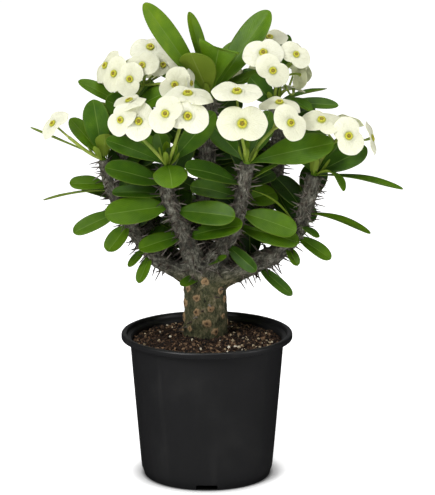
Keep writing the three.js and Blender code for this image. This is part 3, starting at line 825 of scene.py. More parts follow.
def shapeBark(body, sites, scars):
    # swells the bark under each thorn, cuts furrows along the branches and raises the trunk's scars
    co = cornersOf(body)
    trunkX, trunkY = [value * mm for value in stem["trunkMiddle"]]
    trunkTop, branchFoot = stem["trunkTop"]
    steps = [(branch, *step) for branch in routes for step in walks[branch]]
    finder = KDTree(len(steps))
    for index, step in enumerate(steps):
        finder.insert(step[1], index)
    finder.balance()
    bases = KDTree(max(1, len(sites)))
    for index, site in enumerate(sites):
        bases.insert(site[0], index)
    bases.balance()
    scarMarks, knobs, flow, trunkShare = [], [], [], []
    moved = co.copy()
    for index, corner in enumerate(co):
        _, found, _ = finder.find(corner)
        branch, place, ahead, radius, way = steps[found]
        level, other = sideways(ahead)
        off = corner - place
        off = off - ahead * off.dot(ahead)
        out = unit(off)
        around = math.atan2(out.dot(other), out.dot(level))
        straight = Vector((math.cos(around) * radius, math.sin(around) * radius, way * mm))
        flow.append(straight)
        _, _, far = bases.find(corner)
        knob = math.exp(-((far / (stem["knobReach"] * mm)) ** 2))
        furrow = noise.noise(Vector((straight.x * 330, straight.y * 330, straight.z * 90)))
        fineSpot = Vector((straight.x * 620, straight.y * 620, straight.z * 420))
        bumps = noise.noise(fineSpot + Vector((3, 7, 1)))
        lift = 0.45 * furrow + 0.3 * bumps
        mark = 0.0
        height = corner[2] / mm - stem["soilLine"]
        # the trunk and the thick feet of the branches have scars, the rest has a knob under each thorn
        if branch == "trunk" or (way < 22 and radius > 10.5 * mm):
            lift += 0.7 * noise.noise(Vector(corner) * 75)
            spin = math.atan2(corner[1] - trunkY, corner[0] - trunkX)
            for scarHeight, scarSpin, size in scars:
                aside = (spin - scarSpin + math.pi) % (2 * math.pi) - math.pi
                aside *= stem["trunkRadius"]
                above = height - scarHeight
                if abs(aside) > stem["scarReach"] or abs(above) > stem["scarReach"]:
                    continue
                reach = math.hypot(aside / stem["scarWidth"], above / stem["scarHeight"]) / size
                reach += 0.45 * bumps + 0.25 * furrow  # so that no two scars have the same outline
                mark = max(mark, 1 - min(1, max(0, reach) / 1.25))
                lift += stem["scarRise"] * size * math.exp(-((reach / 0.8) ** 2))
                lift -= stem["scarPit"] * math.exp(-((reach / 0.3) ** 2))
        else:
            lift += stem["knobHeight"] * knob
        trunkShare.append(1 - min(1, max(0, (height - trunkTop) / (branchFoot - trunkTop))))
        scarMarks.append(mark)
        knobs.append(knob if branch != "trunk" else 0.0)
        moved[index] = corner + out * lift * mm
    setCorners(body, moved)
    setValues(body, "scar", scarMarks)
    setValues(body, "knob", knobs)
    setValues(body, "trunk", trunkShare)
    flowStore = body.data.attributes.new("flow", "FLOAT_VECTOR", "POINT")
    flowStore.data.foreach_set("vector", np.asarray(flow, np.float32).reshape(-1))


def makeThorn():
    # a five-sided spine, one unit long, broad at the foot, with "along" from foot to tip
    bpy.ops.mesh.primitive_circle_add(vertices=5, radius=0.17, fill_type="NGON", location=(0, 0, -0.06))
    made = bpy.context.object
    pick(made)
    bpy.ops.object.transform_apply(location=True)
    openEdit(made)
    bpy.ops.mesh.select_all(action="SELECT")
    for rise, shrink, lean in [(0.12, 0.66, 0.0), (0.3, 0.78, 0.02), (0.34, 0.74, 0.04)]:
        bpy.ops.mesh.extrude_region_move(TRANSFORM_OT_translate={"value": (lean, 0, rise)})
        bpy.ops.transform.resize(value=(shrink, shrink, 1))
    bpy.ops.mesh.extrude_region_move(TRANSFORM_OT_translate={"value": (0.04, 0, 0.28)})
    bpy.ops.mesh.merge(type="CENTER")
    closeEdit()
    tidyMesh(made)
    setValues(made, "along", np.clip(cornersOf(made)[:, 2], 0, 1))
    smooth(made)
    return made


def makeThorns(tree, sites):
    # a thorn at each site, up to two smaller ones beside it, and a few short ones on the trunk
    master = makeThorn()
    shape = cornersOf(master)
    shapes, tones = [], []

    def grow(foot, direction, length, thick):
        level = unit(np.cross(direction, (0.3, 0.2, 1)))
        other = np.cross(direction, level)
        spin = dice.uniform(0, 6.28)
        first = level * math.cos(spin) + other * math.sin(spin)
        second = np.cross(direction, first)
        shapes.append(shape @ np.array([first * thick, second * thick, direction * length]) + foot)
        tones.append(dice.random())

    for foot, out, ahead, share in sites:
        aside = np.cross(ahead, out)
        lean = ahead * dice.uniform(-0.35, 0.4) + aside * dice.uniform(-0.3, 0.3)
        length = dice.uniform(*stem["thornLength"]) * mm * (1.08 - 0.35 * share)
        grow(foot + out * 0.5 * mm, unit(out + lean), length, stem["thornThick"] * mm)
        for _ in range(dice.choice((0, 1, 1, 2))):
            splayed = unit(out + ahead * dice.uniform(-0.9, 0.9) + aside * dice.uniform(-0.8, 0.8))
            shorter = length * dice.uniform(0.45, 0.8)
            grow(foot + out * 0.3 * mm, splayed, shorter, stem["sideThornThick"] * mm)
    lowest, span = stem["trunkThornSpan"]
    for index in range(stem["trunkThorns"]):
        way = lowest + span * (index + 0.5) / stem["trunkThorns"]
        found = outward(tree, "trunk", way, 0.3 + index * 3.3)
        if found:
            foot, out, ahead = found
            direction = unit(out + ahead * dice.uniform(-0.2, 0.3))
            length = dice.uniform(*stem["trunkThornLength"]) * mm
            grow(foot, direction, length, stem["trunkThornThick"] * mm)
    made = copiesOf(master, shapes, "thorns", tones)
    throwAway(master)
    return made


def paintBark():
    paint = Paint("thornyBark", Specular_IOR_Level=0.3)
    flow = paint.attribute("flow", 1)
    stretched = paint.node("ShaderNodeMapping", {}, {0: flow, 3: (1, 1, 0.5)})
    furrow = paint.noise(430, 5, 0.7, at=stretched, warp=0.6)
    blotch = paint.noise(95, 4, 0.6)
    speck = paint.noise(1500, 2, 0.6)
    scar = paint.attribute("scar")
    knob = paint.attribute("knob")
    trunk = paint.attribute("trunk")
    colour = paint.ramp(
        furrow * 0.62 + blotch * 0.38,
        (0.38, (0.008, 0.0075, 0.0055)), (0.48, (0.042, 0.041, 0.030)),
        (0.57, (0.135, 0.132, 0.104)), (0.67, (0.34, 0.33, 0.28)),
    )
    mossy = paint.ramp(  # the trunk's bark, greener and browner than the branches'
        furrow * 0.5 + blotch * 0.5,
        (0.38, (0.010, 0.010, 0.004)), (0.49, (0.05, 0.055, 0.018)),
        (0.58, (0.13, 0.11, 0.05)), (0.66, (0.28, 0.22, 0.13)),
    )
    colour = paint.blend(trunk * 0.85, colour, mossy)
    colour = paint.blend(knob * 0.45, colour, (0.10, 0.082, 0.06))
    tan = paint.ramp(  # a scar is pale tan with a dark pit
        scar + speck * 0.3 - 0.15,
        (0.2, (0.06, 0.045, 0.022)), (0.42, (0.31, 0.21, 0.105)),
        (0.7, (0.20, 0.12, 0.055)), (0.88, (0.035, 0.02, 0.01)),
    )
    colour = paint.blend(scar.within(0.1, 0.32) * (0.6 + speck), colour, tan)
    colour = paint.blend(speck.within(0.6, 0.75) * 0.4, colour, (0.33, 0.31, 0.26))
    normal = paint.bump(furrow, 0.9, 0.0014)
    normal = paint.bump(speck, 0.35, 0.0004, normal)
    return paint.finish(colour, 0.72 + furrow * 0.2, normal)


def paintThorns():
    paint = Paint("darkThorns", Specular_IOR_Level=0.4)
    along = paint.attribute("along")
    tone = paint.attribute("tone")
    speck = paint.noise(1600, 2)
    colour = paint.ramp(
        along,
        (0.05, (0.10, 0.082, 0.06)), (0.3, (0.04, 0.028, 0.022)),
        (0.7, (0.018, 0.012, 0.01)), (1.0, (0.01, 0.007, 0.006)),
    )
    colour = paint.blend(tone.within(0.5, 0.9) * 0.6, colour, (0.26, 0.235, 0.2))
    colour = paint.blend(speck.within(0.5, 0.7) * 0.2, colour, (0.15, 0.13, 0.10))
    normal = paint.bump(speck, 0.3, 0.0002)
    return paint.finish(colour, 0.45 + speck * 0.25, normal)


stemPiece = stemBody()
plainTree = BVHTree.FromObject(stemPiece, bpy.context.evaluated_depsgraph_get())
sites = thornSites(plainTree)
shapeBark(stemPiece, sites, scarSites())
stemPiece.data.materials.append(paintBark())
smooth(stemPiece)
barkTree = BVHTree.FromObject(stemPiece, bpy.context.evaluated_depsgraph_get())
thornPiece = makeThorns(barkTree, sites)
thornPiece.data.materials.append(paintThorns())
handOver(stemPiece, "thorny_stem", "bark", "woody_stem")
handOver(thornPiece, "thorns", "bark")
print("stem ready", len(stemPiece.data.polygons), "faces,", len(sites), "thorn sites")
print("thorns ready", len(thornPiece.data.polygons), "faces")


def netOf(node):
    # a CAD node's corners, merged, and the neighbours of each
    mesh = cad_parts[node].data
    numbers, points, merged = {}, [], []
    for corner in mesh.vertices:
        key = tuple(round(value * 1e6) for value in corner.co)
        if key not in numbers:
            numbers[key] = len(points)
            points.append(np.array(corner.co))
        merged.append(numbers[key])
    links = [set() for _ in points]
    for face in mesh.polygons:
        ring = [merged[corner] for corner in face.vertices]
        for one, two in zip(ring, ring[1:] + ring[:1]):
            if one != two:
                links[one].add(two)
                links[two].add(one)
    return points, links


# how the frame's leaves and flower cups are built, to find each one in its node
leafFrame = {
    "shares": (0.94, 0.84, 0.68, 0.5, 0.3),  # the rings' shares of the length, from the tip down
    "spreads": (0.5, 0.84),  # the first two rings' shares of the full width
    "thickness": 1.2 * mm,
    "thicknessSlack": 0.04 * mm,
    "cupRise": 2.4 * mm,
    "cupPeak": 0.7 * mm,
    "cupSlack": 0.08 * mm,
    "cupReach": 4.2 * 1.16 * mm,
}


def ringFacts(points, ring):
    # the thin pair of a leaf ring is its top and bottom, the wide pair its two edges
    orders = ((0, 1, 2, 3), (0, 2, 1, 3), (0, 3, 1, 2))
    pairs = [((ring[a], ring[b]), (ring[c], ring[d])) for a, b, c, d in orders]
    pairs += [(two, one) for one, two in pairs]
    thin, wide = min(pairs, key=lambda pair: np.linalg.norm(points[pair[0][0]] - points[pair[0][1]]))
    gap = np.linalg.norm(points[thin[0]] - points[thin[1]])
    middle = (points[wide[0]] + points[wide[1]]) / 2
    keel = (points[thin[0]] + points[thin[1]]) / 2
    return gap, middle, points[wide[1]] - points[wide[0]], keel


def leafGuides(node):
    # each leaf's middle line (three points), its width, and the direction across it, with the sign
    # that puts its upper side on top
    points, links = netOf(node)
    guides = []
    for tip, near in enumerate(links):
        if len(near) != 4:  # a tip has just the four corners of the ring behind it as neighbours
            continue
        seen, ring, facts = {tip}, sorted(near), []
        while len(ring) == 4 and len(facts) < 5:
            gap, middle, across, keel = ringFacts(points, ring)
            if abs(gap - leafFrame["thickness"]) > leafFrame["thicknessSlack"]:
                break
            facts.append((middle, across, keel))
            seen |= set(ring)
            ring = sorted(set().union(*(links[corner] for corner in ring)) - seen)
        if len(facts) < 2:
            continue
        shares = leafFrame["shares"][:len(facts)]
        first, second = leafFrame["spreads"]
        width = np.linalg.norm(facts[1][1]) / second
        if abs(np.linalg.norm(facts[0][1]) / width - first) > 0.02:
            continue
        weights = np.array([[(1 - share) ** 2, 2 * share * (1 - share)] for share in shares])
        wanted = np.array([fact[0] - share ** 2 * points[tip] for fact, share in zip(facts, shares)])
        base, bend = np.linalg.lstsq(weights, wanted, rcond=None)[0]
        across = unit(facts[1][1])
        up = facts[1][0] - facts[1][2]
        ahead = unit(facts[0][0] - facts[1][0])
        if np.dot(np.cross(across, ahead), up) < 0:
            across = -across
        guides.append({"base": base, "bend": bend, "tip": points[tip], "across": across, "width": width})
    return guides


def flowerGuides(node):
    # each flower's middle, facing, bract direction and scale
    points, links = netOf(node)
    guides = []
    for pole, near in enumerate(links):
        if len(near) != 10:  # the cup's top has the ten corners of its rim as neighbours
            continue
        ring = np.array([points[corner] for corner in near])
        middle = ring.mean(axis=0)
        rise = points[pole] - middle
        if abs(np.linalg.norm(rise) - leafFrame["cupPeak"]) > leafFrame["cupSlack"]:
            continue
        facing = unit(rise)
        reach = np.linalg.norm(ring - middle, axis=1)
        axis = ring[int(reach.argmax())] - middle
        axis = unit(axis - facing * axis.dot(facing))
        guides.append({
            "at": middle - facing * leafFrame["cupRise"],
            "facing": facing,
            "axis": axis,
            "scale": reach.max() / leafFrame["cupReach"],
        })
    return guides


nodeNames = sorted(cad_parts)
sideNodes = [name for name in nodeNames if name.startswith("leaf_")]
crownNodes = [name for name in nodeNames if name.startswith("crown_leaves_")]
flowerNodes = [name for name in nodeNames if name.startswith("flower")]
leafPlaces = {name: leafGuides(name) for name in sideNodes + crownNodes}
flowerPlaces = {name: flowerGuides(name) for name in flowerNodes}
print("side leaves found", sum(len(leafPlaces[name]) for name in sideNodes), "of", len(sideNodes))
print("crown leaves found", sum(len(leafPlaces[name]) for name in crownNodes))
print("flowers found", sum(len(found) for found in flowerPlaces.values()))

leaf = {
    "length": 66,
    "width": 26,
    "thickness": 0.8,
    "crownRows": [  # share of the length, share of the full width: broadest well past the middle
        (0, 0.11), (0.06, 0.11), (0.12, 0.17), (0.2, 0.33), (0.3, 0.56), (0.4, 0.76), (0.5, 0.9),
        (0.58, 0.97), (0.66, 1.0), (0.74, 0.985), (0.81, 0.92), (0.87, 0.81), (0.92, 0.67),
        (0.955, 0.52), (0.98, 0.36), (0.994, 0.2), (1, 0.06),
    ],
    "sideRows": [  # rounder, with a short stalk
        (0, 0.13), (0.06, 0.13), (0.12, 0.24), (0.2, 0.5), (0.3, 0.74), (0.4, 0.89), (0.5, 0.97),
        (0.58, 1.0), (0.66, 1.0), (0.74, 0.97), (0.81, 0.91), (0.87, 0.82), (0.92, 0.7),
        (0.955, 0.56), (0.98, 0.4), (0.994, 0.24), (1, 0.09),
    ],
    "columns": 8,
    "fold": 0.1,
    "edgeWave": 0.9,
    "waves": (0.3, 1),
    "twist": 0.2,
    "innerTwist": 0.3,
    "sideTone": (0.15, 0.75),  # from dark to pale green
    "innerTone": (-0.15, 0.25),
    "crownTone": (0.2, 0.7),
    "topExtra": 0.3,
    "youngTone": 0.85,
    "tipTone": 0.6,
    "sideGreens": [
        (0.1, (0.009, 0.034, 0.001)), (0.4, (0.033, 0.092, 0.001)),
        (0.75, (0.088, 0.18, 0.001)), (1.0, (0.16, 0.27, 0.002)),
    ],
    "crownGreens": [
        (0.1, (0.012, 0.04, 0.001)), (0.4, (0.036, 0.10, 0.001)),
        (0.75, (0.098, 0.20, 0.001)), (1.0, (0.21, 0.32, 0.002)),
    ],
}


def markUnder(piece, plain):
    # the corners past the first ones are those that Solidify put on the underside
    under = np.zeros(len(piece.data.vertices))
    under[plain:] = 1
    setValues(piece, "under", under)


def makeLeaf(rows):
    # a flat grid drawn in row by row to the leaf's outline, then given its thickness
    columns = leaf["columns"]
    long, wide = leaf["length"] * mm, leaf["width"] * mm
    bpy.ops.mesh.primitive_grid_add(x_subdivisions=len(rows) - 1, y_subdivisions=columns, size=1)
    made = bpy.context.object
    made.name = "leafMaster"
    made.data.uv_layers[0].name = "flat"
    openEdit(made)
    bpy.ops.mesh.select_all(action="SELECT")
    bpy.ops.transform.translate(value=(0.5, 0, 0))
    bpy.ops.transform.resize(value=(long, wide, 1), center_override=(0, 0, 0))
    for column in range(columns + 1):  # the middle hangs lowest, so that the blade folds a little
        y = (column / columns - 0.5) * wide
        choose(lambda corner: abs(corner.co.y - y) < 0.1 * mm)
        sink = leaf["fold"] * wide * (1 - abs(y) / (0.5 * wide)) ** 1.3
        bpy.ops.transform.translate(value=(0, 0, -sink))
    for index, (share, spread) in reversed(list(enumerate(rows))):
        x = index / (len(rows) - 1) * long
        choose(lambda corner: abs(corner.co.x - x) < 0.1 * mm)
        bpy.ops.transform.resize(value=(1, spread, spread), center_override=(x, 0, 0))
        bpy.ops.transform.translate(value=(share * long - x, 0, 0))
    closeEdit()
    plain = len(made.data.vertices)
    addModifier(made, "SOLIDIFY", thickness=leaf["thickness"] * mm, offset=-1)
    markUnder(made, plain)
    addModifier(made, "SUBSURF", levels=1, render_levels=1)
    smooth(made)
    return made


def bentLeaf(shape, guide, wave, twist, phase):
    # the master's corners laid along a guide's middle line, with a rippled edge and a twist
    long = leaf["length"] * mm
    base, bend, tip = guide["base"], guide["bend"], guide["tip"]
    scale = guide["width"] / (leaf["width"] * mm)
    raw = shape[:, 0] / long
    share = np.clip(raw, 0, 1)[:, None]
    line = (1 - share) ** 2 * base + 2 * share * (1 - share) * bend + share ** 2 * tip
    ahead = 2 * (1 - share) * (bend - base) + 2 * share * (tip - bend)
    ahead /= np.linalg.norm(ahead, axis=1)[:, None]
    line = line + ahead * ((raw[:, None] - share) * long)
    up = np.cross(np.tile(guide["across"], (len(shape), 1)), ahead)
    up /= np.linalg.norm(up, axis=1)[:, None]
    angle = twist * share
    across = guide["across"] * np.cos(angle) + up * np.sin(angle)
    up = up * np.cos(angle) - guide["across"] * np.sin(angle)
    aside = shape[:, 1] * scale
    edge = np.abs(shape[:, 1]) / (leaf["width"] * mm / 2)
    swing = np.sin(raw * 7.5 + phase + np.sign(shape[:, 1]))
    ripple = leaf["edgeWave"] * mm * wave * scale * swing * edge ** 2
    lift = shape[:, 2] * (0.45 + 0.55 * scale) + ripple
    return line + across * aside[:, None] + up * lift[:, None]


def bentLeaves(shape, guides, twist):
    # every leaf ripples and twists by its own amount
    bent = []
    for guide in guides:
        wave = dice.uniform(*leaf["waves"])
        bent.append(bentLeaf(shape, guide, wave, dice.uniform(-twist, twist), dice.uniform(0, 6)))
    return bent


def paintLeaf(name, stops):
    paint = Paint(name, Specular_IOR_Level=0.26)
    along, acrossLeaf = paint.flatMap()
    tone = paint.attribute("tone")
    under = paint.attribute("under")
    side = (acrossLeaf - 0.5).math("ABSOLUTE")
    mottle = paint.noise(70, 3, 0.55)
    fine = paint.noise(420, 3, 0.6)
    colour = paint.ramp(tone * 0.6 + mottle * 0.45 + along * 0.22 - 0.14, *stops)
    rib = side.within(0.004, 0.026, 1.0, 0.0)
    sway = (along * 21 - side * 13 + mottle * 0.8).math("FRACT")
    vein = (sway - 0.5).math("ABSOLUTE").within(0.0, 0.13, 1.0, 0.0) * side.within(0.02, 0.2)
    pale = paint.blend(1.0, colour, (1.8, 1.6, 1.6), "MULTIPLY")
    colour = paint.blend(vein * 0.26, colour, pale)
    colour = paint.blend(rib * 0.55, colour, (0.17, 0.27, 0.045))
    colour = paint.blend(side.within(0.42, 0.5) * 0.35, colour, (0.11, 0.15, 0.012))
    back = paint.blend(mottle, (0.11, 0.175, 0.008), (0.155, 0.215, 0.014))
    back = paint.blend(rib * 0.5, back, (0.24, 0.3, 0.06))
    colour = paint.blend(under, colour, back)
    colour = paint.blend(fine.within(0.62, 0.72) * 0.1, colour, (0.16, 0.22, 0.05))
    normal = paint.bump(vein * 0.6 + rib + mottle * 1.2, 0.4, 0.0009)
    normal = paint.bump(fine, 0.14, 0.0003, normal)
    roughness = 0.4 + under * 0.2 + fine * 0.1
    return paint.finish(colour, roughness, normal)


leafMaster, crownMaster = makeLeaf(leaf["sideRows"]), makeLeaf(leaf["crownRows"])
leafShape, crownShape = cornersOf(leafMaster), cornersOf(crownMaster)
leafPaint = paintLeaf("leafGreen", leaf["sideGreens"])
crownPaint = paintLeaf("crownGreen", leaf["crownGreens"])

leafMaster.data.materials.append(leafPaint)
for name in sideNodes:
    shapes = bentLeaves(leafShape, leafPlaces[name], leaf["twist"])
    bladeName = name.replace("leaf", "blade")
    piece = copiesOf(leafMaster, shapes, bladeName, [dice.uniform(*leaf["sideTone"])] * len(shapes))
    handOver(piece, bladeName, "leaf", name)

inner = {
    "branches": {  # number of leaves on each
        "centre": 22, "backLeft": 14, "backRight": 14, "frontLeft": 8, "frontRight": 8, "right": 6,
        "farLeft": 6,
    },
    "length": (42, 64),
    "width": (0.4, 0.5),
    "tries": 300,
    "drop": 6,
    "leftRight": (-112, 118),  # the tips stay within these
    "frontBack": (12, 108),
    "height": (235, 385),
}


def insideRange(value, span):
    return span[0] < value < span[1]


def innerGuides():
    # more leaves on the back of the plant, past the number that the frame has nodes for
    guides = []
    for branch, count in inner["branches"].items():
        length = walks[branch][-1][3]
        made, tries = 0, 0
        while made < count and tries < inner["tries"]:
            tries += 1
            way = length * (0.22 + 0.7 * (made + dice.random()) / count)
            place, ahead, _, _ = stepAt(branch, way)
            level, other = sideways(ahead)
            around = dice.uniform(0, 2 * math.pi)
            out = unit(level * math.cos(around) + other * math.sin(around))
            if out[1] < 0.05:  # only leaves that point backwards
                continue
            long = dice.uniform(*inner["length"]) * mm
            tip = place + unit(out + ahead * dice.uniform(0.1, 0.7)) * long
            tip = tip + np.array([0, 0, -inner["drop"] * mm])
            limits = (inner["leftRight"], inner["frontBack"], inner["height"])
            if not all(insideRange(value / mm, limit) for value, limit in zip(tip, limits)):
                continue
            across = unit(np.cross(tip - place, (dice.uniform(-0.5, 0.5), -0.8, 0.9)))
            facing = np.cross(across, unit(tip - place))
            bend = (place + tip) / 2 + facing * dice.uniform(3, 9) * mm
            width = long * dice.uniform(*inner["width"])
            guides.append({"base": place, "bend": bend, "tip": tip, "across": across, "width": width})
            made += 1
    return guides


innerPlaces = innerGuides()
innerShapes = bentLeaves(leafShape, innerPlaces, leaf["innerTwist"])
innerTones = [dice.uniform(*leaf["innerTone"]) for _ in innerPlaces]
innerPiece = copiesOf(leafMaster, innerShapes, "inner_blades", innerTones)
handOver(innerPiece, "inner_blades", "leaf")

crownBranch = {  # the branch that carries each crown
    "crown_leaves_far_left": "farLeft",
    "crown_leaves_front_left": "frontLeft",
    "crown_leaves_front_right": "frontRight",
    "crown_leaves_right": "right",
    "crown_leaves_upper_right": "backRight",
    "crown_leaves_upper_left": "backLeft",
    "crown_leaves_top": "centre",
}

young = {  # the width is a share of the length, the tip's radius a share of the branch's
    "count": 5,
    "length": (14, 24),
    "width": 0.36,
    "ring": 2.2,
    "wave": 0.2,
    "tipRadius": 0.82,
}


def youngLeaves(branch):
    # small new leaves that stand up close around a growing tip
    end, ahead, _, _ = walks[branch][-1]
    level, other = sideways(ahead)
    guides = []
    for index in range(young["count"]):
        around = index * 2.4 + 0.4
        out = unit(level * math.cos(around) + other * math.sin(around))
        length = dice.uniform(*young["length"]) * mm
        base = end + out * young["ring"] * mm
        tip = base + unit(ahead + out * dice.uniform(0.25, 0.6)) * length
        bend = (base + tip) / 2 + out * 1.5 * mm
        across = unit(np.cross(out, ahead))
        width = length * young["width"]
        guides.append({"base": base, "bend": bend, "tip": tip, "across": across, "width": width})
    return guides


def growingTip(branch):
    # the green end of a branch, between the bases of its leaves
    end, ahead, radius, _ = walks[branch][-1]
    bpy.ops.mesh.primitive_uv_sphere_add(segments=20, ring_count=12, radius=young["tipRadius"] * radius)
    made = bpy.context.object
    openEdit(made)
    choose(lambda corner: corner.co.z > 0.2 * radius)
    bpy.ops.transform.resize(value=(0.62, 0.62, 0.9), center_override=(0, 0, 0))
    choose(lambda corner: corner.co.z > 0.6 * radius)
    bpy.ops.transform.translate(value=(0, 0, 0.25 * radius))
    closeEdit()
    level, other = sideways(ahead)
    upright = np.array([level, other, ahead])
    setCorners(made, cornersOf(made) @ upright + end - ahead * radius * 0.2)
    tidyMesh(made)
    smooth(made)
    return made


crownMaster.data.materials.append(crownPaint)
for name, branch in crownBranch.items():
    guides = leafPlaces[name]
    shapes = bentLeaves(crownShape, guides, leaf["twist"])
    top = leaf["topExtra"] if name == "crown_leaves_top" else 0.0
    tones = [min(0.95, dice.uniform(*leaf["crownTone"]) + top) for _ in guides]
    newLeaves = youngLeaves(branch)
    shapes += [bentLeaf(crownShape, guide, young["wave"], 0.0, 0.0) for guide in newLeaves]
    tones += [leaf["youngTone"]] * len(newLeaves)
    blades = copiesOf(crownMaster, shapes, "blades", tones)
    nub = growingTip(branch)
    nub.data.uv_layers[0].name = "flat"
    nub.data.materials.append(crownPaint)
    setValues(nub, "tone", [leaf["tipTone"]] * len(nub.data.vertices))
    crownName = name.replace("leaves", "blades")
    handOver(joinAll([blades, nub], crownName), crownName, "crown_leaf", name)
print("leaves ready")

flower = {
    "lobe": 13.2,
    "lobeOut": 7.0,
    "insets": (0.8, 2.0, 2.6, 2.8),
    "point": 0.9,
    "dome": 1.7,
    "droop": 0.02,
    "ruffle": 0.7,
    "crease": 0.8,
    "thickness": 0.55,
    "flatAround": (3.5, 5),  # flat out to the first radius, full relief past the two together
    "mapWidth": 40,
    "cupRadius": 4.1,
    "cupMiddle": 1.2,
    "glands": 5,
    "glandRing": 2.75,
    "glandHeight": 2.45,
    "glandRadius": 1.5,
    "stamens": 6,
    "stamenRing": 0.9,
    "stamenHeight": 2.75,
    "stalkRadius": 1.7,
    "pedicelRadius": 1.15,
    "footDepth": 6.6,
    "seatDepth": 0.4,
    "cupColours": [
        (0.0, (0.42, 0.26, 0.012)), (0.026, (0.26, 0.2, 0.012)), (0.042, (0.13, 0.12, 0.01)),
        (0.058, (0.55, 0.5, 0.02)), (0.09, (0.46, 0.48, 0.025)), (0.112, (0.13, 0.16, 0.012)),
    ],
}


def makeBract(side, lift):
    # one broad round bract, lightly domed, flat around the cup, with a crease to its small point
    middle = (flower["lobeOut"] * mm * side, 0, 0)
    radius = flower["lobe"] * mm
    bpy.ops.mesh.primitive_circle_add(vertices=28, radius=radius, fill_type="NGON", location=middle)
    made = bpy.context.object
    pick(made)
    bpy.ops.object.transform_apply(location=True)
    openEdit(made)
    bpy.ops.mesh.select_all(action="SELECT")
    bpy.ops.transform.resize(value=(1, 1.06, 1), center_override=middle)
    for thickness in flower["insets"]:
        bpy.ops.mesh.inset(thickness=thickness * mm)
    bpy.ops.mesh.poke()
    bpy.ops.mesh.select_all(action="DESELECT")
    closeEdit()
    co = cornersOf(made) / mm
    x, y = co[:, 0] * side, co[:, 1]
    point = np.exp(-((y / 2.2) ** 2)) * np.clip((x - 18) / 2, 0, 1)
    co[:, 0] += side * point * flower["point"]
    rim = np.hypot(x - flower["lobeOut"], y) / flower["lobe"]
    spin = np.arctan2(y, x - flower["lobeOut"])
    flat, rise = flower["flatAround"]
    past = np.clip((np.hypot(x, y) - flat) / rise, 0, 1)
    co[:, 2] = lift + flower["dome"] * (1 - rim ** 2) * past - flower["droop"] * np.clip(x, 0, 30) ** 1.5
    ruffle = flower["ruffle"] * np.sin(spin * 4 + 1.3 * side) * rim ** 3
    crease = flower["crease"] * np.exp(-((y / 1.3) ** 2)) * np.clip(x / 18, 0, 1)
    co[:, 2] += ruffle - crease
    setCorners(made, co * mm)
    return made


def makeBracts():
    lobes = [makeBract(1, 1.0), makeBract(-1, -0.1)]
    made = joinAll(lobes, "bractMaster")
    plain = len(made.data.vertices)
    addModifier(made, "SOLIDIFY", thickness=flower["thickness"] * mm, offset=-1)
    markUnder(made, plain)
    addModifier(made, "SUBSURF", levels=1, render_levels=1)
    smooth(made)
    flatten(made)
    return made


def flatten(piece):
    # the UV map is the flower seen from its front
    layers = piece.data.uv_layers
    layer = layers[0] if layers else layers.new(name="flat")
    layer.name = "flat"
    corners = np.zeros(len(piece.data.loops), np.int32)
    piece.data.loops.foreach_get("vertex_index", corners)
    spots = cornersOf(piece)[corners, :2] / (flower["mapWidth"] * mm) + 0.5
    layer.data.foreach_set("uv", spots.astype(np.float32).reshape(-1))


def ringPlace(around, out, height):
    return (out * math.cos(around) * mm, out * math.sin(around) * mm, height * mm)


def makeCup():
    # the small cup in the middle, with five glands around its mouth and stamens in it
    parts = []
    middle = (0, 0, flower["cupMiddle"] * mm)
    radius = flower["cupRadius"] * mm
    bpy.ops.mesh.primitive_uv_sphere_add(segments=16, ring_count=8, radius=radius, location=middle)
    bowl = bpy.context.object
    pick(bowl)
    bpy.ops.object.transform_apply(location=True)
    openEdit(bowl)
    bpy.ops.mesh.select_all(action="SELECT")
    bpy.ops.transform.resize(value=(1, 1, 0.62), center_override=middle)
    choose(lambda corner: corner.co.z > 2.2 * mm)
    bpy.ops.transform.translate(value=(0, 0, -0.9 * mm))
    closeEdit()
    parts.append(bowl)
    for index in range(flower["glands"]):
        around = 2 * math.pi * index / flower["glands"] + 0.4
        place = ringPlace(around, flower["glandRing"], flower["glandHeight"])
        radius = flower["glandRadius"] * mm
        bpy.ops.mesh.primitive_uv_sphere_add(
            segments=10, ring_count=6, radius=radius, location=place, rotation=(0, 0, around),
        )
        gland = bpy.context.object
        gland.scale = (0.85, 1.3, 0.45)
        parts.append(gland)
    for index in range(flower["stamens"]):
        around = 2 * math.pi * index / flower["stamens"]
        place = ringPlace(around, flower["stamenRing"] if index else 0.0, flower["stamenHeight"])
        bpy.ops.mesh.primitive_ico_sphere_add(subdivisions=1, radius=0.5 * mm, location=place)
        parts.append(bpy.context.object)
    pick(*parts)
    bpy.ops.object.transform_apply(location=True, rotation=True, scale=True)
    made = joinAll(parts, "cupMaster")
    smooth(made)
    flatten(made)
    return made


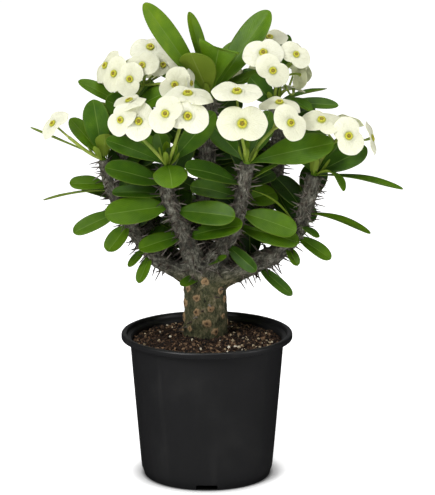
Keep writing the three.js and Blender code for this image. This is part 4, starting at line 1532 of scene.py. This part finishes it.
def paintBract():
    paint = Paint("creamBract", Specular_IOR_Level=0.3, Sheen_Weight=0.1, Sheen_Roughness=0.5)
    x, y, out = paint.fromMiddle()
    tone = paint.attribute("tone")
    under = paint.attribute("under")
    mottle = paint.noise(160, 3, 0.55)
    rays = paint.node("ShaderNodeMath", {"operation": "ARCTAN2"}, {0: y, 1: x})
    rayMap = paint.node("ShaderNodeCombineXYZ", {}, {0: rays * 3.2, 1: out * 2.2, 2: tone * 5})
    vein = paint.noise(7, 2, 0.5, at=rayMap, warp=0.3)
    cream = paint.ramp(tone * 0.5 + mottle * 0.5, (0.2, (0.74, 0.74, 0.54)), (0.8, (0.84, 0.84, 0.68)))
    cream = paint.blend(vein.within(0.5, 0.66) * 0.35, cream, (0.62, 0.63, 0.36))
    cream = paint.blend(out.within(0.3, 0.5) * 0.25, cream, (0.86, 0.86, 0.72))
    cream = paint.blend(out.within(0.09, 0.15, 1.0, 0.0) * 0.6, cream, (0.44, 0.50, 0.06))
    back = paint.blend(mottle, (0.78, 0.80, 0.46), (0.88, 0.89, 0.62))
    colour = paint.blend(under, cream, back)
    normal = paint.bump(vein, 0.8, 0.001)
    normal = paint.bump(mottle, 0.12, 0.0004, normal)
    return paint.finish(colour, 0.46 + mottle * 0.14, normal)


def paintCup():
    paint = Paint("cupYellow", Specular_IOR_Level=0.5)
    out = paint.fromMiddle()[2]
    speck = paint.noise(1300, 3, 0.6)
    colour = paint.ramp(out, *flower["cupColours"])
    colour = paint.blend(speck.within(0.5, 0.68) * 0.5, colour, (0.62, 0.5, 0.05))
    normal = paint.bump(speck, 0.4, 0.0003)
    return paint.finish(colour, 0.35 + speck * 0.2, normal)


def paintStalk():
    paint = Paint("stalkGreen", Specular_IOR_Level=0.4)
    long = paint.noise(320, 3, 0.6, at=paint.spot((1, 1, 0.25)))
    patch = paint.noise(60, 2)
    greens = (0.3, (0.09, 0.15, 0.012)), (0.5, (0.20, 0.27, 0.03)), (0.7, (0.32, 0.36, 0.07))
    colour = paint.ramp(long * 0.5 + patch * 0.5, *greens)
    normal = paint.bump(long, 0.25, 0.0004)
    return paint.finish(colour, 0.4 + patch * 0.15, normal)


# for each cluster: its branch, and the stalk's two points past the branch's tip, in mm over the soil line
stalks = {
    "flowers_upper_left": ("backLeft", (-72, 30, 236), (-62, 26, 252)),
    "flowers_front_left": ("frontLeft", (-48, -30, 194), (-66, -36, 214)),
    "flowers_front_middle": ("frontLeft", (-33, -32, 196), (-26, -42, 220)),
    "flowers_front_centre": ("frontRight", (37, -30, 196), (34, -44, 212)),
    "flowers_front_right": ("frontRight", (48, -22, 198), (64, -32, 218)),
    "flowers_right": ("right", (112, -6, 184), (124, -10, 202)),
    "flowers_upper_right": ("backRight", (68, 42, 242), (70, 36, 258)),
    "flower_far_left": ("farLeft", (-114, -6, 190), (-134, -8, 206)),
    "flowers_back_centre": ("centre", (4, 44, 244), (5, 58, 248)),
    "flowers_back_left": ("backLeft", (-80, 46, 232), (-94, 58, 236)),
    "flowers_back_right": ("backRight", (74, 60, 238), (82, 74, 242)),
}


def makeTube(points, radii):
    # a round stalk through the points, as thick as its radius in mm at each
    line = bpy.data.curves.new("stalk", "CURVE")
    line.dimensions = "3D"
    line.bevel_depth = 1.0
    line.bevel_resolution = 2
    line.use_fill_caps = True
    line.resolution_u = 5
    spline = line.splines.new("BEZIER")
    spline.bezier_points.add(len(points) - 1)
    for bead, point, radius in zip(spline.bezier_points, points, radii):
        bead.co = point
        bead.handle_left_type = bead.handle_right_type = "AUTO"
        bead.radius = radius * mm
    made = bpy.data.objects.new("stalk", line)
    bpy.context.scene.collection.objects.link(made)
    pick(made)
    bpy.ops.object.convert(target="MESH")
    made = bpy.context.object
    tidyMesh(made)
    smooth(made)
    return made


def placedFlower(shape, guide, curl, droop):
    # a master's corners bent a little and put on a flower's place
    third = np.cross(guide["facing"], guide["axis"])
    bent = shape.copy()
    bent[:, 2] += curl * shape[:, 0] ** 2 / 0.02 + droop * shape[:, 1] ** 2 / 0.02
    turnedShape = bent[:, :1] * guide["axis"] + bent[:, 1:2] * third + bent[:, 2:] * guide["facing"]
    return guide["at"] + turnedShape * guide["scale"]


bractMaster, cupMaster = makeBracts(), makeCup()
bractMaster.data.materials.append(paintBract())
cupMaster.data.materials.append(paintCup())
stalkPaint = paintStalk()
bractShape, cupShape = cornersOf(bractMaster), cornersOf(cupMaster)
for name, (branch, low, fork) in stalks.items():
    guides = flowerPlaces[name]
    bends = [(dice.uniform(-0.22, 0.12), dice.uniform(-0.2, 0.16)) for _ in guides]
    tones = [dice.random() for _ in guides]
    bracts = [placedFlower(bractShape, guide, *bend) for guide, bend in zip(guides, bends)]
    cups = [placedFlower(cupShape, guide, 0, 0) for guide in guides]
    parts = [copiesOf(bractMaster, bracts, "bracts", tones), copiesOf(cupMaster, cups, "cups", tones)]
    end = walks[branch][-1][0]
    lowPlace, forkPlace = placeOf(*low), placeOf(*fork)
    thick, thin = flower["stalkRadius"], flower["pedicelRadius"]
    tubes = [makeTube([end, lowPlace, forkPlace], [thick * 1.1, thick, thick])]
    for guide in guides:
        foot = guide["at"] - guide["facing"] * flower["footDepth"] * mm
        seat = guide["at"] - guide["facing"] * flower["seatDepth"] * mm
        path = [forkPlace, (forkPlace + foot) / 2, foot, seat]
        tubes.append(makeTube(path, [thin * 1.1, thin, thin, thin * 1.5]))
    for tube in tubes:
        tube.data.materials.append(stalkPaint)
    bloomName = name.replace("flower", "bloom")
    handOver(joinAll(parts + tubes, bloomName), bloomName, "bract", name)
throwAway(bractMaster, cupMaster, leafMaster, crownMaster)
print("flowers ready")
